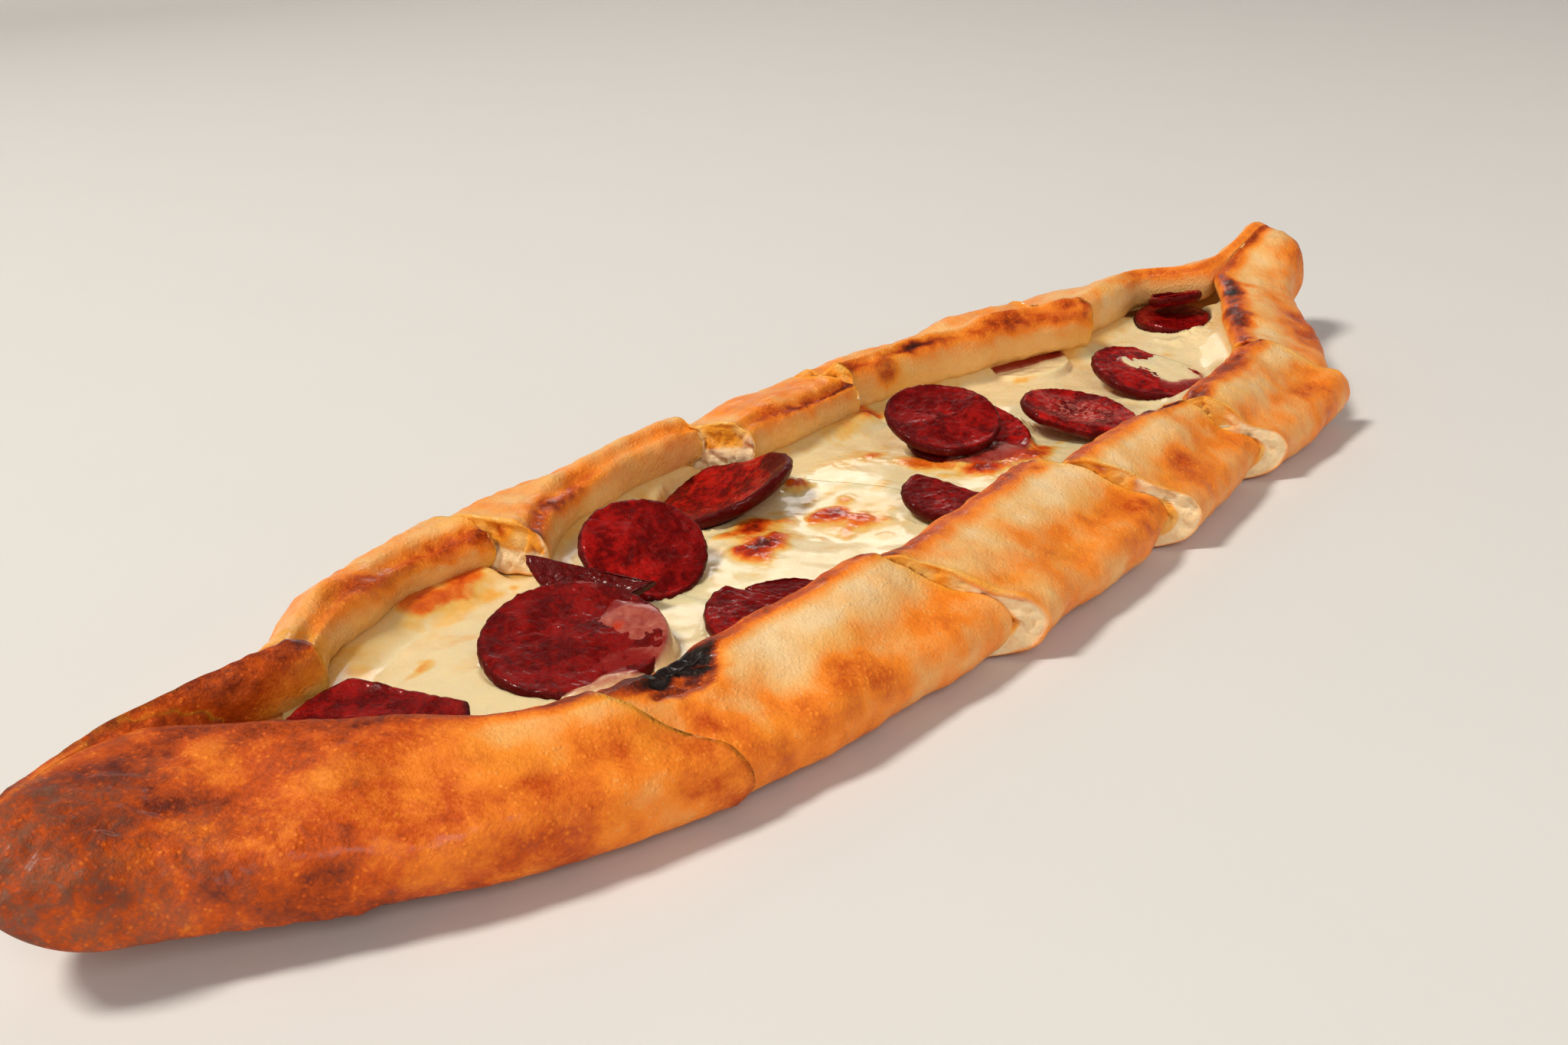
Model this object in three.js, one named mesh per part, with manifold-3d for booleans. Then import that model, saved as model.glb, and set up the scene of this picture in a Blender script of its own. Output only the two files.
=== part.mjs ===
// A boat-shaped filled flatbread, cut crosswise into six slices that still lie together.
// Each slice is a trough of dough whose two long edges are folded in over the filling, with a
// slab of melted cheese in it and rounds of sausage on the cheese.
//
// Millimetres, +Z up. +X runs along the bread to its blunt tip, and -Y is the side with the wide
// flat flap. The origin is on the flat underside.
import * as THREE from "three";
import { mergeVertices } from "three/addons/utils/BufferGeometryUtils.js";
import Module from "manifold-3d";

const wasm = await Module();
wasm.setup();

// ---- Driving dimensions ----

const TIPS = { sharp: -210, blunt: 222 }; // x of the two tips
const FLOOR = 5.5; // thickness of the dough under the filling
const FOLD = { side: 8.2, shoulder: 10.6, roof: 11.8 }; // heights inside the fold, from the side in
const SEAM_GAP = 0.8; // between the lips where they meet
const KERF = 1.1; // width of a knife cut through the bread
const CHEESE_KERF = 0.7; // the filling's cuts
const ROLL = 10; // how far the folded edge is rounded in from the side
const CLEAR = 0.35; // gap between touching pieces

// The outline, as x and the distance of each side from the middle line. The tips are rounded off.
const OUTLINE = [
  { x: -210, near: 9, far: 9 },
  { x: -185, near: 19, far: 15 },
  { x: -157, near: 37, far: 27 },
  { x: -125, near: 50, far: 53 },
  { x: -80, near: 59.5, far: 64.5 },
  { x: 0, near: 62, far: 67 },
  { x: 95, near: 57.5, far: 62.5 },
  { x: 145, near: 51, far: 53 },
  { x: 170, near: 36, far: 41 },
  { x: 195, near: 15, far: 21 },
  { x: 222, near: 7.5, far: 15.5 },
];
const NOSE = 13; // length of the rounded end of each tip
const TIP_RISE = { sharp: 12, blunt: 19.5 }; // how far the tips curl up
const TIP_RISE_FROM = 120; // where that starts, from the origin
const TIP_FULLNESS = 0.8; // the tips' height against the middle's
const TIP_MIDDLE = 9; // height at which a tip closes, above its own underside

// Where the opening starts and ends, along X, and how fast the hollow runs out past it.
const OPENING = { from: -174, to: 184, fade: 16 };
const SHUT_HOLLOW = 0.04; // what is left of the hollow's section past that
const OPENING_TAPER = { sharp: 62, blunt: 64 }; // length over which the near lip crosses over

// The knife cuts, as x = at + lean * y, and bent past the near lip.
const CUTS = [
  { at: -132.5, lean: -0.33, bend: -0.42 },
  { at: -65, lean: -0.36, bend: -0.52 },
  { at: 7, lean: -0.32, bend: -0.45 },
  { at: 54, lean: -0.3, bend: -0.72 },
  { at: 126, lean: 0, bend: -0.6 },
];
const BEND_AT = -28; // y where a bent cut turns
const BEND_SOFT = 10;

// The slices. Each side has y of its lip at the slice's start and end and how far it bows between,
// the heights of its rounded edge and of its lip, the height of the lip's face, and how much the
// flap is domed. slid is how far the slice has slid sideways at its start and at its end, and
// pinch how far its near side draws in at its end, so that the next slice's crumb shows.
const PINCH_FROM = 0.72; // share of a slice's length where that starts
const SLICES = [
  {
    name: "end_sharp",
    near: { lip: [20, -29], bow: 0, roll: 18.5, top: 25, wall: 7.5, dome: 1.2 },
    far: { lip: [20, 18], bow: 1, roll: 18, top: 26, wall: 12.5, dome: 0.5 },
    slid: [0, 0],
    pinch: 0,
  },
  {
    name: "slice_1",
    near: { lip: [-30, -34], bow: 0, roll: 16, top: 24, wall: 7.5, dome: 0.8 },
    far: { lip: [20, 41], bow: 7.5, roll: 23.5, top: 24, wall: 11, dome: 0.5 },
    slid: [1, 2],
    pinch: 2,
  },
  {
    name: "slice_2",
    near: { lip: [-34, -29], bow: 0.5, roll: 15.5, top: 24, wall: 7, dome: 0.8 },
    far: { lip: [33, 47], bow: 7, roll: 24, top: 24.5, wall: 11.5, dome: 0.5 },
    slid: [-2, 1],
    pinch: 2.5,
  },
  {
    name: "slice_3",
    near: { lip: [-33, -36], bow: 1.5, roll: 15.5, top: 23.5, wall: 7, dome: 0.8 },
    far: { lip: [38, 37], bow: 1, roll: 23, top: 24.5, wall: 11.5, dome: 0 },
    slid: [-3, 1],
    pinch: 1.5,
  },
  {
    name: "slice_4",
    near: { lip: [-36, -26], bow: 1, roll: 16, top: 24, wall: 7, dome: 1 },
    far: { lip: [43, 21], bow: 4, roll: 26, top: 28.8, wall: 15, dome: -4 },
    slid: [-3, -4],
    pinch: 0,
  },
  {
    name: "end_blunt",
    near: { lip: [-34, 6], bow: 0, roll: 17, top: 24, wall: 7, dome: 1 },
    far: { lip: [21, 25], bow: 0, roll: 22, top: 27, wall: 14, dome: 0 },
    slid: [1, 0],
    pinch: 0,
  },
];

// The filling.
const CHEESE_TOP = 12.2;
const CHEESE_EDGE_TOP = 10; // under the flaps
const CHEESE_FLOOR = FLOOR + CLEAR;
const CHEESE_INSET = 12.4; // from the bread's side to the cheese's edge
const CHEESE_ENDS = { from: -166, to: 180 };

// Rounds of sausage: centre, radius, how many degrees the face leans towards +X and +Y, the depth
// of the cup, and the cut that ends it: keep -1 is what lies before the cut, 1 what lies after,
// and slip is how far the round's own cut has slipped along X.
const SAUSAGE_THICKNESS = 3;
const SAUSAGE = [
  { name: "sausage_01", at: [-143.5, -1, 15], radius: 18.5, lean: [-9, -4], cup: 0.6, cut: 0, keep: -1, slip: 3.5 },
  { name: "sausage_02", at: [-96.5, -1.5, 15], radius: 18.4, lean: [-7, -8.5], cup: 0.8 },
  { name: "sausage_03", at: [-67.5, 17, 26.4], radius: 20, lean: [-36, -17], cup: 1, cut: 1, keep: -1, slip: -6 },
  { name: "sausage_04", at: [-62.5, 14, 18], radius: 14.5, lean: [-6, -26], cup: 0.6, cut: 1, keep: 1, slip: -6 },
  { name: "sausage_05", at: [-62.5, -24, 13.8], radius: 14.5, lean: [-5, -6], cup: 0.5, cut: 1, keep: -1 },
  { name: "sausage_06", at: [-59.5, -27, 13.3], radius: 14, lean: [0, -4], cup: 0.5, cut: 1, keep: 1 },
  { name: "sausage_07", at: [-20, 29.5, 10.8], radius: 18.5, lean: [-12, 17], cup: 4, cut: 2, keep: -1 },
  { name: "sausage_08", at: [9, -19, 14], radius: 14, lean: [0, -8], cup: 0.6, cut: 2, keep: -1 },
  { name: "sausage_09", at: [44, 4.5, 13.6], radius: 17, lean: [-5, -10], cup: 0.6, cut: 2, keep: 1 },
  { name: "sausage_10", at: [39, 8.6, 18.8], radius: 15.3, lean: [-5, -16], cup: 0.9, cut: 2, keep: 1 },
  { name: "sausage_11", at: [72, -12, 14.6], radius: 15.5, lean: [6, -10], cup: 0.9, cut: 3, keep: 1 },
  { name: "sausage_12", at: [107, 28, 10], radius: 13, lean: [0, 7], cup: 0.5 },
  { name: "sausage_13", at: [113, -9, 14.2], radius: 16.5, lean: [2, -12], cup: 0.6, cut: 4, keep: -1 },
  { name: "sausage_14", at: [164, 11, 14.6], radius: 12, lean: [-3, -3], cup: 0.8 },
  { name: "sausage_15", at: [166.5, 11.5, 21], radius: 8, lean: [6, 14], cup: 0.6 },
];

const RINGS_PER_SLICE = 9;
const END_RINGS = 16;
const SECTION_STEPS = 8; // pairs of points from the middle of the floor to a lip
const CHEESE_COLUMNS = 10;
const CHEESE_ROWS = 7;
const ROUND_SIDES = 20;

const COLOURS = { crust: 0xd9924a, cheese: 0xf2e3ae, sausage: 0x6e1410 };

// ---- Small helpers ----

const lerp = (a, b, t) => a + (b - a) * t;
const clamp = (t) => Math.min(1, Math.max(0, t));
const smooth = (a, b, x) => {
  const t = clamp((x - a) / (b - a));
  return t * t * (3 - 2 * t);
};

// ---- The bread's form, as functions of x ----

// A side's distance from the middle line at x, on a smooth curve through the outline.
function halfWidth(x, side) {
  const at = (i) => OUTLINE[Math.min(OUTLINE.length - 1, Math.max(0, i))];
  let i = 0;
  while (i < OUTLINE.length - 2 && x > OUTLINE[i + 1].x) i++;
  const [p, q, r, s] = [at(i - 1), at(i), at(i + 1), at(i + 2)];
  const span = r.x - q.x;
  const t = clamp((x - q.x) / span);
  const slopeIn = (span * (r[side] - p[side])) / (r.x - p.x);
  const slopeOut = (span * (s[side] - q[side])) / (s.x - q.x);
  const hermite = [2 * t ** 3 - 3 * t * t + 1, t ** 3 - 2 * t * t + t, 3 * t * t - 2 * t ** 3, t ** 3 - t * t];
  const width = q[side] * hermite[0] + slopeIn * hermite[1] + r[side] * hermite[2] + slopeOut * hermite[3];
  return width * nose(x);
}

// 1 along the bread, falling to nothing over each tip in a quarter of an ellipse.
function nose(x) {
  const into = Math.max(0, TIPS.sharp + NOSE - x, x - TIPS.blunt + NOSE) / NOSE;
  return Math.sqrt(Math.max(0, 1 - into * into));
}

// A slice's half width on one side, with its near side drawn in at its end.
function sideWidth(slice, x, t, side) {
  const drawn = side === "near" ? slice.pinch * smooth(PINCH_FROM, 1, t) : 0;
  return halfWidth(x, side) - drawn;
}

// How much of the full height is left towards a tip.
function fullness(x) {
  return lerp(1, TIP_FULLNESS, smooth(140, 200, Math.abs(x))) * nose(x);
}

// The tips curl up off the table, and their rounded ends close at half their own height.
function rise(x) {
  const tip = x < 0 ? "sharp" : "blunt";
  const past = Math.max(0, Math.abs(x) - TIP_RISE_FROM) / (Math.abs(TIPS[tip]) - TIP_RISE_FROM);
  return TIP_RISE[tip] * past * past + TIP_MIDDLE * (1 - nose(x));
}

// How much of the hollow is left: 1 along the opening, next to nothing where the ends are shut.
function hollow(x) {
  const past = Math.max(OPENING.from - x, x - OPENING.to, 0);
  return lerp(1, SHUT_HOLLOW, smooth(0, OPENING.fade, past));
}

// The lips' y in a slice, at a share t of its length. Towards a tip the two lips come together
// on a rounded line and run on as a seam.
function lipLines(slice, x, t) {
  const line = ({ lip, bow }) => lerp(lip[0], lip[1], t) + 4 * bow * t * (1 - t);
  let near = line(slice.near);
  let far = line(slice.far);
  if (slice.name === "end_sharp") {
    const open = smooth(OPENING.from, OPENING.from + OPENING_TAPER.sharp, x) ** 0.65;
    const seam = slice.far.lip[0] * smooth(TIPS.sharp - 10, OPENING.from, x);
    far = lerp(seam, far, smooth(OPENING.from, OPENING.from + 30, x));
    near = lerp(seam - SEAM_GAP, slice.near.lip[1], open);
  }
  if (slice.name === "end_blunt") {
    const crossed = clamp((x - OPENING.to + OPENING_TAPER.blunt) / (OPENING_TAPER.blunt - 2));
    const shut = smooth(0, 1, (x - OPENING.to + 24) / 24);
    near = lerp(slice.near.lip[0], slice.near.lip[1], crossed);
    far = lerp(far, slice.near.lip[1] + SEAM_GAP, shut ** 2);
  }
  return { near, far };
}

// A side's outline as pairs of points, outer and inner, from the middle of the floor round the
// roll to the lip, each as [distance from the middle line, height]. The lip's face follows.
function sideSection(side, width, lip, sign, x) {
  const tight = Math.min(1, width / 34);
  const r = ROLL * tight;
  const foldIn = width - 1.15 * r;
  const roll = side.roll + 0.5 * Math.sin(x / 17 + sign);
  const top = side.top + 0.6 * Math.sin(x / 21 + 2 * sign);
  const under = top - side.wall;
  const middle = lerp(width - 0.9 * r, lip + 5 * tight, 0.5);
  const roof = Math.max(FOLD.roof, under - 1);
  const pocket = Math.max(width - 1.6 * r, Math.min(foldIn, lip + 2 * tight));
  const outer = [
    [0, 0],
    [0.5 * (width - r), 0],
    [width - r, 0],
    [width - 0.22 * r, 0.3 * r],
    [width, 0.9 * r],
    [width - 0.26 * r, lerp(0.9 * r, roll, 0.7)],
    [width - 0.9 * r, roll],
    [middle, lerp(roll, top, 0.55) + side.dome],
    [lip + 5 * tight, top],
  ];
  const inner = [
    [0, FLOOR],
    [0.5 * (width - 1.6 * r), FLOOR],
    [width - 1.6 * r, FLOOR],
    [foldIn, FLOOR + 0.1],
    [width - 0.95 * r, FOLD.side],
    [foldIn, FOLD.shoulder],
    [pocket, FOLD.roof],
    [lerp(pocket, lip + 3 * tight, 0.5), roof],
    [lip + 3 * tight, under],
  ];
  const face = [
    [lip + 1.2 * tight, top - 0.14 * side.wall],
    [lip, top - 0.5 * side.wall],
    [lip + 0.8 * tight, under + 0.14 * side.wall],
  ];
  return { outer, inner, face };
}

// The bread's section at x, as a closed loop of [y, z], counter-clockwise seen from +X. Where the
// ends are shut, the hollow shrinks towards the seam on top.
function section(slice, x, t) {
  const { near, far } = lipLines(slice, x, t);
  const a = sideSection(slice.far, sideWidth(slice, x, t, "far"), far, 1, x);
  const b = sideSection(slice.near, sideWidth(slice, x, t, "near"), -near, -1, x);
  const left = hollow(x);
  const seam = 0.5 * (near + far);
  const top = 0.5 * (a.outer.at(-1)[1] + b.outer.at(-1)[1]);
  const inside = ([y, z]) => [seam + (y - seam) * left, top + (z - top) * left];
  const flip = ([d, z]) => [-d, z];
  const loop = [
    ...a.outer,
    ...a.face.map(inside),
    ...a.inner.slice(1).reverse().map(inside),
    inside(a.inner[0]),
    ...b.inner.slice(1).map(flip).map(inside),
    ...b.face.reverse().map(flip).map(inside),
    ...b.outer.slice(1).reverse().map(flip),
  ];
  const full = fullness(x);
  const lifted = rise(x);
  return loop.map(([y, z]) => [y, z * full + lifted]);
}

// ---- Slices: rings of a section, each on a surface between the slice's two cuts ----

// The surfaces that bound a slice, with half a kerf taken off at each cut.
function bounds(index, kerf, ends) {
  const first = CUTS[index - 1];
  const last = CUTS[index];
  return {
    from: first ? { ...first, at: first.at + kerf / 2 } : { at: ends.from, lean: 0, bend: 0 },
    to: last ? { ...last, at: last.at - kerf / 2 } : { at: ends.to, lean: 0, bend: 0 },
  };
}

function cutBetween({ from, to }, t) {
  return { at: lerp(from.at, to.at, t), lean: lerp(from.lean, to.lean, t), bend: lerp(from.bend, to.bend, t) };
}

// The x of a cut at y.
function cutX(cut, y) {
  const past = BEND_AT - y;
  const soft = 0.5 * (past + Math.sqrt(past * past + BEND_SOFT * BEND_SOFT));
  return cut.at + cut.lean * y - cut.bend * soft;
}

// Sets each point of a loop onto a cut: its section depends on x, and its x on its y.
function ringOn(cut, t, slice, loopAt) {
  const count = loopAt(cut.at, t).length;
  const slid = lerp(slice.slid[0], slice.slid[1], t);
  const ring = [];
  for (let i = 0; i < count; i++) {
    let point = loopAt(cut.at, t)[i];
    let x = cutX(cut, point[0] + slid);
    for (let pass = 0; pass < 4; pass++) {
      point = loopAt(x, t)[i];
      x = cutX(cut, point[0] + slid);
    }
    ring.push(new THREE.Vector3(x, point[0] + slid, point[1]));
  }
  return ring;
}

// A closed mesh from rings of the same count. The end faces join pairs of points across the
// section, from pair 0 outwards, or meet in a point where tip gives one.
function loft(rings, capPairs, startTip, endTip) {
  const n = rings[0].length;
  const points = rings.flat();
  const faces = [];
  for (let r = 0; r + 1 < rings.length; r++)
    for (let i = 0; i < n; i++) {
      const j = (i + 1) % n;
      faces.push([r * n + i, r * n + j, (r + 1) * n + j]);
      faces.push([r * n + i, (r + 1) * n + j, (r + 1) * n + i]);
    }
  const close = (offset, tip, flipped) => {
    const cap = [];
    if (tip) {
      points.push(tip);
      for (let i = 0; i < n; i++) cap.push([offset + i, offset + ((i + 1) % n), points.length - 1]);
    } else
      for (const face of capPairs) cap.push(face.map((i) => offset + i));
    for (const [i, j, k] of cap) faces.push(flipped ? [i, k, j] : [i, j, k]);
  };
  close(0, startTip, true);
  close((rings.length - 1) * n, endTip, false);
  const geometry = new THREE.BufferGeometry().setFromPoints(points);
  geometry.setIndex(faces.flat());
  return geometry;
}

// The end face of the bread's section: quads between outer and inner points, on both sides.
function breadCap() {
  const n = SECTION_STEPS;
  const total = 4 * n + 8;
  const outerFar = (i) => i;
  const innerFar = (i) => 2 * n + 4 - i;
  const innerNear = (i) => 2 * n + 4 + i;
  const outerNear = (i) => (total - i) % total;
  const faces = [];
  for (let i = 0; i < n; i++) {
    faces.push([outerFar(i), outerFar(i + 1), innerFar(i + 1)], [outerFar(i), innerFar(i + 1), innerFar(i)]);
    faces.push([outerNear(i), innerNear(i + 1), outerNear(i + 1)], [outerNear(i), innerNear(i), innerNear(i + 1)]);
  }
  // The lip's face closes with a fan from the flap's top.
  for (let i = 1; i <= 3; i++) {
    faces.push([outerFar(n), n + i, n + i + 1]);
    faces.push([outerNear(n), outerNear(n) - i - 1, outerNear(n) - i]);
  }
  return faces;
}

function breadSlice(slice, index) {
  const ends = { from: TIPS.sharp, to: TIPS.blunt };
  const span = bounds(index, KERF, ends);
  const startTip = index === 0;
  const endTip = index === SLICES.length - 1;
  const rings = [];
  const count = startTip || endTip ? END_RINGS : RINGS_PER_SLICE;
  for (let i = 0; i < count; i++) {
    let t = i / (count - 1);
    // Rings crowd towards a tip, and the first or last stands just short of it.
    if (startTip) t = 0.004 + 0.996 * t ** 1.6;
    if (endTip) t = 0.996 * (1 - (1 - t) ** 1.6);
    rings.push(ringOn(cutBetween(span, t), t, slice, (x, s) => section(slice, x, s)));
  }
  const middle = (ring) => ring.reduce((sum, p) => sum.add(p), new THREE.Vector3()).divideScalar(ring.length);
  const tipOf = (ring, x) => middle(ring).setX(x);
  return loft(
    rings,
    breadCap(),
    startTip ? tipOf(rings[0], TIPS.sharp) : null,
    endTip ? tipOf(rings.at(-1), TIPS.blunt) : null,
  );
}

// ---- Filling ----

// The cheese's top, which sags a little between its low waves and thins out under the flaps.
function cheeseTop(x, across) {
  const open = 1 - smooth(0.55, 1, Math.abs(across));
  const waves = 0.5 * Math.sin(x / 11 + 3 * across) + 0.35 * Math.sin(x / 6.5 - 4 * across + 1);
  return lerp(CHEESE_EDGE_TOP, CHEESE_TOP + waves, open);
}

function cheeseLoop(slice, x, t) {
  const round = Math.sqrt(smooth(0, 26, Math.min(x - CHEESE_ENDS.from, CHEESE_ENDS.to - x)));
  const half = (across) => {
    const side = sideWidth(slice, x, t, across < 0 ? "near" : "far");
    return Math.max(3, (side - CHEESE_INSET * Math.min(1, side / 34)) * round) * across;
  };
  const shares = [];
  for (let i = 0; i <= CHEESE_COLUMNS; i++) shares.push(-1 + (2 * i) / CHEESE_COLUMNS);
  const loop = shares.map((across) => [half(across), CHEESE_FLOOR]);
  for (const across of shares.reverse()) loop.push([half(across), cheeseTop(x, across)]);
  const full = fullness(x);
  return loop.map(([y, z]) => [y, z * full + rise(x)]);
}

function cheeseCap() {
  const last = 2 * CHEESE_COLUMNS + 1;
  const faces = [];
  for (let i = 0; i < CHEESE_COLUMNS; i++)
    faces.push([i, i + 1, last - i - 1], [i, last - i - 1, last - i]);
  return faces;
}

function cheeseSlab(slice, index) {
  const span = bounds(index, CHEESE_KERF, CHEESE_ENDS);
  const rings = [];
  for (let i = 0; i < CHEESE_ROWS; i++) {
    const t = i / (CHEESE_ROWS - 1);
    rings.push(ringOn(cutBetween(span, t), t, slice, (x, s) => cheeseLoop(slice, x, s)));
  }
  return loft(rings, cheeseCap(), null, null);
}

// A round of sausage, cupped and a little out of round, grown by extra all over.
function sausageRound(round, extra) {
  const half = SAUSAGE_THICKNESS / 2 + extra;
  const shares = [0.55, 0.93, 1];
  const rings = [];
  const level = (share, side) => {
    const ring = [];
    for (let i = 0; i < ROUND_SIDES; i++) {
      const angle = (2 * Math.PI * i) / ROUND_SIDES;
      const wobble = 1 + 0.025 * Math.sin(2 * angle + round.at[0]) + 0.015 * Math.sin(3 * angle + round.at[1]);
      const r = (round.radius + extra) * share * wobble;
      const edge = share === 1 ? 0.55 : 1;
      const z = round.cup * share * share + side * half * edge;
      ring.push(new THREE.Vector3(r * Math.cos(angle), r * Math.sin(angle), z));
    }
    return ring;
  };
  for (const share of shares) rings.push(level(share, -1));
  for (const share of [...shares].reverse()) rings.push(level(share, 1));
  const geometry = loft(rings, [], new THREE.Vector3(0, 0, -half), new THREE.Vector3(0, 0, half));
  const [towardsX, towardsY] = round.lean.map(THREE.MathUtils.degToRad);
  const axis = new THREE.Vector3(-towardsY, towardsX, 0).normalize();
  const turn = new THREE.Quaternion().setFromAxisAngle(axis, Math.hypot(towardsX, towardsY));
  const place = new THREE.Matrix4().makeRotationFromQuaternion(turn).setPosition(...round.at);
  return geometry.applyMatrix4(place);
}

// ---- Cutting, with the meshes as solids ----

function solidOf(geometry) {
  const bare = new THREE.BufferGeometry().setAttribute("position", geometry.getAttribute("position"));
  bare.setIndex(geometry.getIndex());
  const merged = mergeVertices(bare, 1e-4);
  return new wasm.Manifold(
    new wasm.Mesh({
      numProp: 3,
      vertProperties: merged.getAttribute("position").array,
      triVerts: new Uint32Array(merged.getIndex().array),
    }),
  );
}

function geometryOf(solid) {
  const mesh = solid.getMesh();
  const geometry = new THREE.BufferGeometry();
  geometry.setAttribute("position", new THREE.BufferAttribute(mesh.vertProperties, 3));
  geometry.setIndex(new THREE.BufferAttribute(mesh.triVerts, 1));
  return geometry;
}

const largest = (solid) => solid.decompose().reduce((a, b) => (b.volume() > a.volume() ? b : a));

// Keeps the part of a solid on one side of a cut.
function keepSide(solid, cut, keep, kerf) {
  const normal = new THREE.Vector3(keep, -keep * cut.lean, 0);
  const offset = (keep * cut.at + kerf / 2) / normal.length();
  return solid.trimByPlane(normal.normalize().toArray(), offset);
}

function sausageSolid(round, extra) {
  const whole = solidOf(sausageRound(round, extra));
  if (!round.keep) return whole;
  const knife = CUTS[round.cut];
  const cut = { ...knife, at: knife.at + (round.slip ?? 0) };
  return keepSide(whole, cut, round.keep, CHEESE_KERF - 2 * extra);
}

// ---- The object ----

const material = {
  crust: new THREE.MeshStandardMaterial({ color: COLOURS.crust, roughness: 0.55, metalness: 0 }),
  cheese: new THREE.MeshStandardMaterial({ color: COLOURS.cheese, roughness: 0.35, metalness: 0 }),
  sausage: new THREE.MeshStandardMaterial({ color: COLOURS.sausage, roughness: 0.4, metalness: 0 }),
};

const pide = new THREE.Group();

function add(group, name, geometry, look) {
  const mesh = new THREE.Mesh(geometry, look);
  mesh.name = name;
  group.add(mesh);
}

const beds = SAUSAGE.map((round) => sausageSolid(round, CLEAR));

SLICES.forEach((slice, index) => {
  const group = new THREE.Group();
  const slab = beds.reduce((rest, bed) => rest.subtract(bed), solidOf(cheeseSlab(slice, index)));
  add(group, `bread_${slice.name}`, breadSlice(slice, index), material.crust);
  add(group, `cheese_${slice.name}`, geometryOf(largest(slab)), material.cheese);
  pide.add(group);
});

for (const round of SAUSAGE) add(pide, round.name, geometryOf(sausageSolid(round, 0)), material.sausage);

export default pide;
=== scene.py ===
import bpy
import numpy as np
from mathutils import Matrix, Vector


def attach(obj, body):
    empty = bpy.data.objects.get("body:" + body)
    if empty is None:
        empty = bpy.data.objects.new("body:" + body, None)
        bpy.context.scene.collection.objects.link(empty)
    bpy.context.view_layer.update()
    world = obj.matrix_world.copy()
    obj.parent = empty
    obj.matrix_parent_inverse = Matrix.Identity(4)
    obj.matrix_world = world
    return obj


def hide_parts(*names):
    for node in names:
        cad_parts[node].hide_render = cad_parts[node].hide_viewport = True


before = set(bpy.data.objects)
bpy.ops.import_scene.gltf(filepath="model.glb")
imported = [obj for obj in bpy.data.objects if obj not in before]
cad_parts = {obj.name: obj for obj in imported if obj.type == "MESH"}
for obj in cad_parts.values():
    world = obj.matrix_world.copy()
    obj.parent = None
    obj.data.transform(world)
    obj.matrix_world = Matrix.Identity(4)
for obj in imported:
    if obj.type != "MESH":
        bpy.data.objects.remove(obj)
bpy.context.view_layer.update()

# A boat-shaped flatbread filled with melted cheese and rounds of sausage, cut into six slices.
# The dough, the cheese and the rounds are surfaces of two parameters in millimetres, +Z up and
# +X towards the blunt tip, and become metres when their meshes are made.

bl_info = {
    "name": "Filled flatbread",
    "version": (1, 0, 0),
    "blender": (4, 5, 0),
    "location": "3D View > Sidebar > Pide",
    "description": "Bakes a sliced, filled flatbread over its packed model",
    "category": "Object",
}

MM = 0.001

# ---- The bread's form, as in its solids ----

TIPS = {"sharp": -210.0, "blunt": 222.0}  # their x
FLOOR = 5.5  # how thick the dough is under the filling
FOLD_SIDE, FOLD_SHOULDER, FOLD_ROOF = 8.2, 10.6, 11.8  # heights of the hollow inside a fold
SEAM_GAP = 0.8  # between the lips where they meet
ROLL = 10.0  # radius of the foot of a side
NARROW = 34.0  # a side that is less wide than this has a smaller foot and lip
NOSE = 13.0  # length over which a tip rounds off
TIP_RISE = {"sharp": 12.0, "blunt": 19.5}  # how far each tip curls up
TIP_RISE_FROM = 120.0  # where the curl starts
TIP_FULLNESS = 0.8  # share of the height that is left at the tips
TIP_MIDDLE = 9.0  # height of the point that a tip shrinks to
OPENING_FROM, OPENING_TO, OPENING_FADE = -174.0, 184.0, 16.0  # of the opening between the folds
SHUT_HOLLOW = 0.04  # share of the hollow that is left where the bread is shut
OPENING_TAPER = {"sharp": 62.0, "blunt": 64.0}  # lengths over which the lips run together
BEND_AT, BEND_SOFT = -28.0, 10.0  # where the cuts bend, and how softly
PINCH_FROM = 0.72  # share of a slice from which its near side draws in

OUTLINE_X = np.array([-210, -185, -157, -125, -80, 0, 95, 145, 170, 195, 222], float)
OUTLINE = {
    "near": np.array([9, 19, 37, 50, 59.5, 62, 57.5, 51, 36, 15, 7.5]),
    "far": np.array([9, 15, 27, 53, 64.5, 67, 62.5, 53, 41, 21, 15.5]),
}

# Each knife cut as its x on the middle line, its lean, and its bend past the near lip.
CUTS = [
    (-132.5, -0.33, -0.42),
    (-65, -0.36, -0.52),
    (7, -0.32, -0.45),
    (54, -0.3, -0.72),
    (126, 0, -0.6),
]


class Fold:
    """One folded edge of a slice: its lip's y at both ends, its bow, and its heights."""

    def __init__(self, lip, bow, roll, top, wall, dome):
        self.lip, self.bow, self.roll = lip, bow, roll
        self.top, self.wall, self.dome = top, wall, dome


class Slice:
    """A slice between two cuts, with its near and far folds, how far it has slid sideways, and how
    far its near side draws in at its end."""

    def __init__(self, name, near, far, slid, pinch=0.0):
        self.name, self.near, self.far, self.slid = name, Fold(*near), Fold(*far), slid
        self.pinch = pinch


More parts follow.
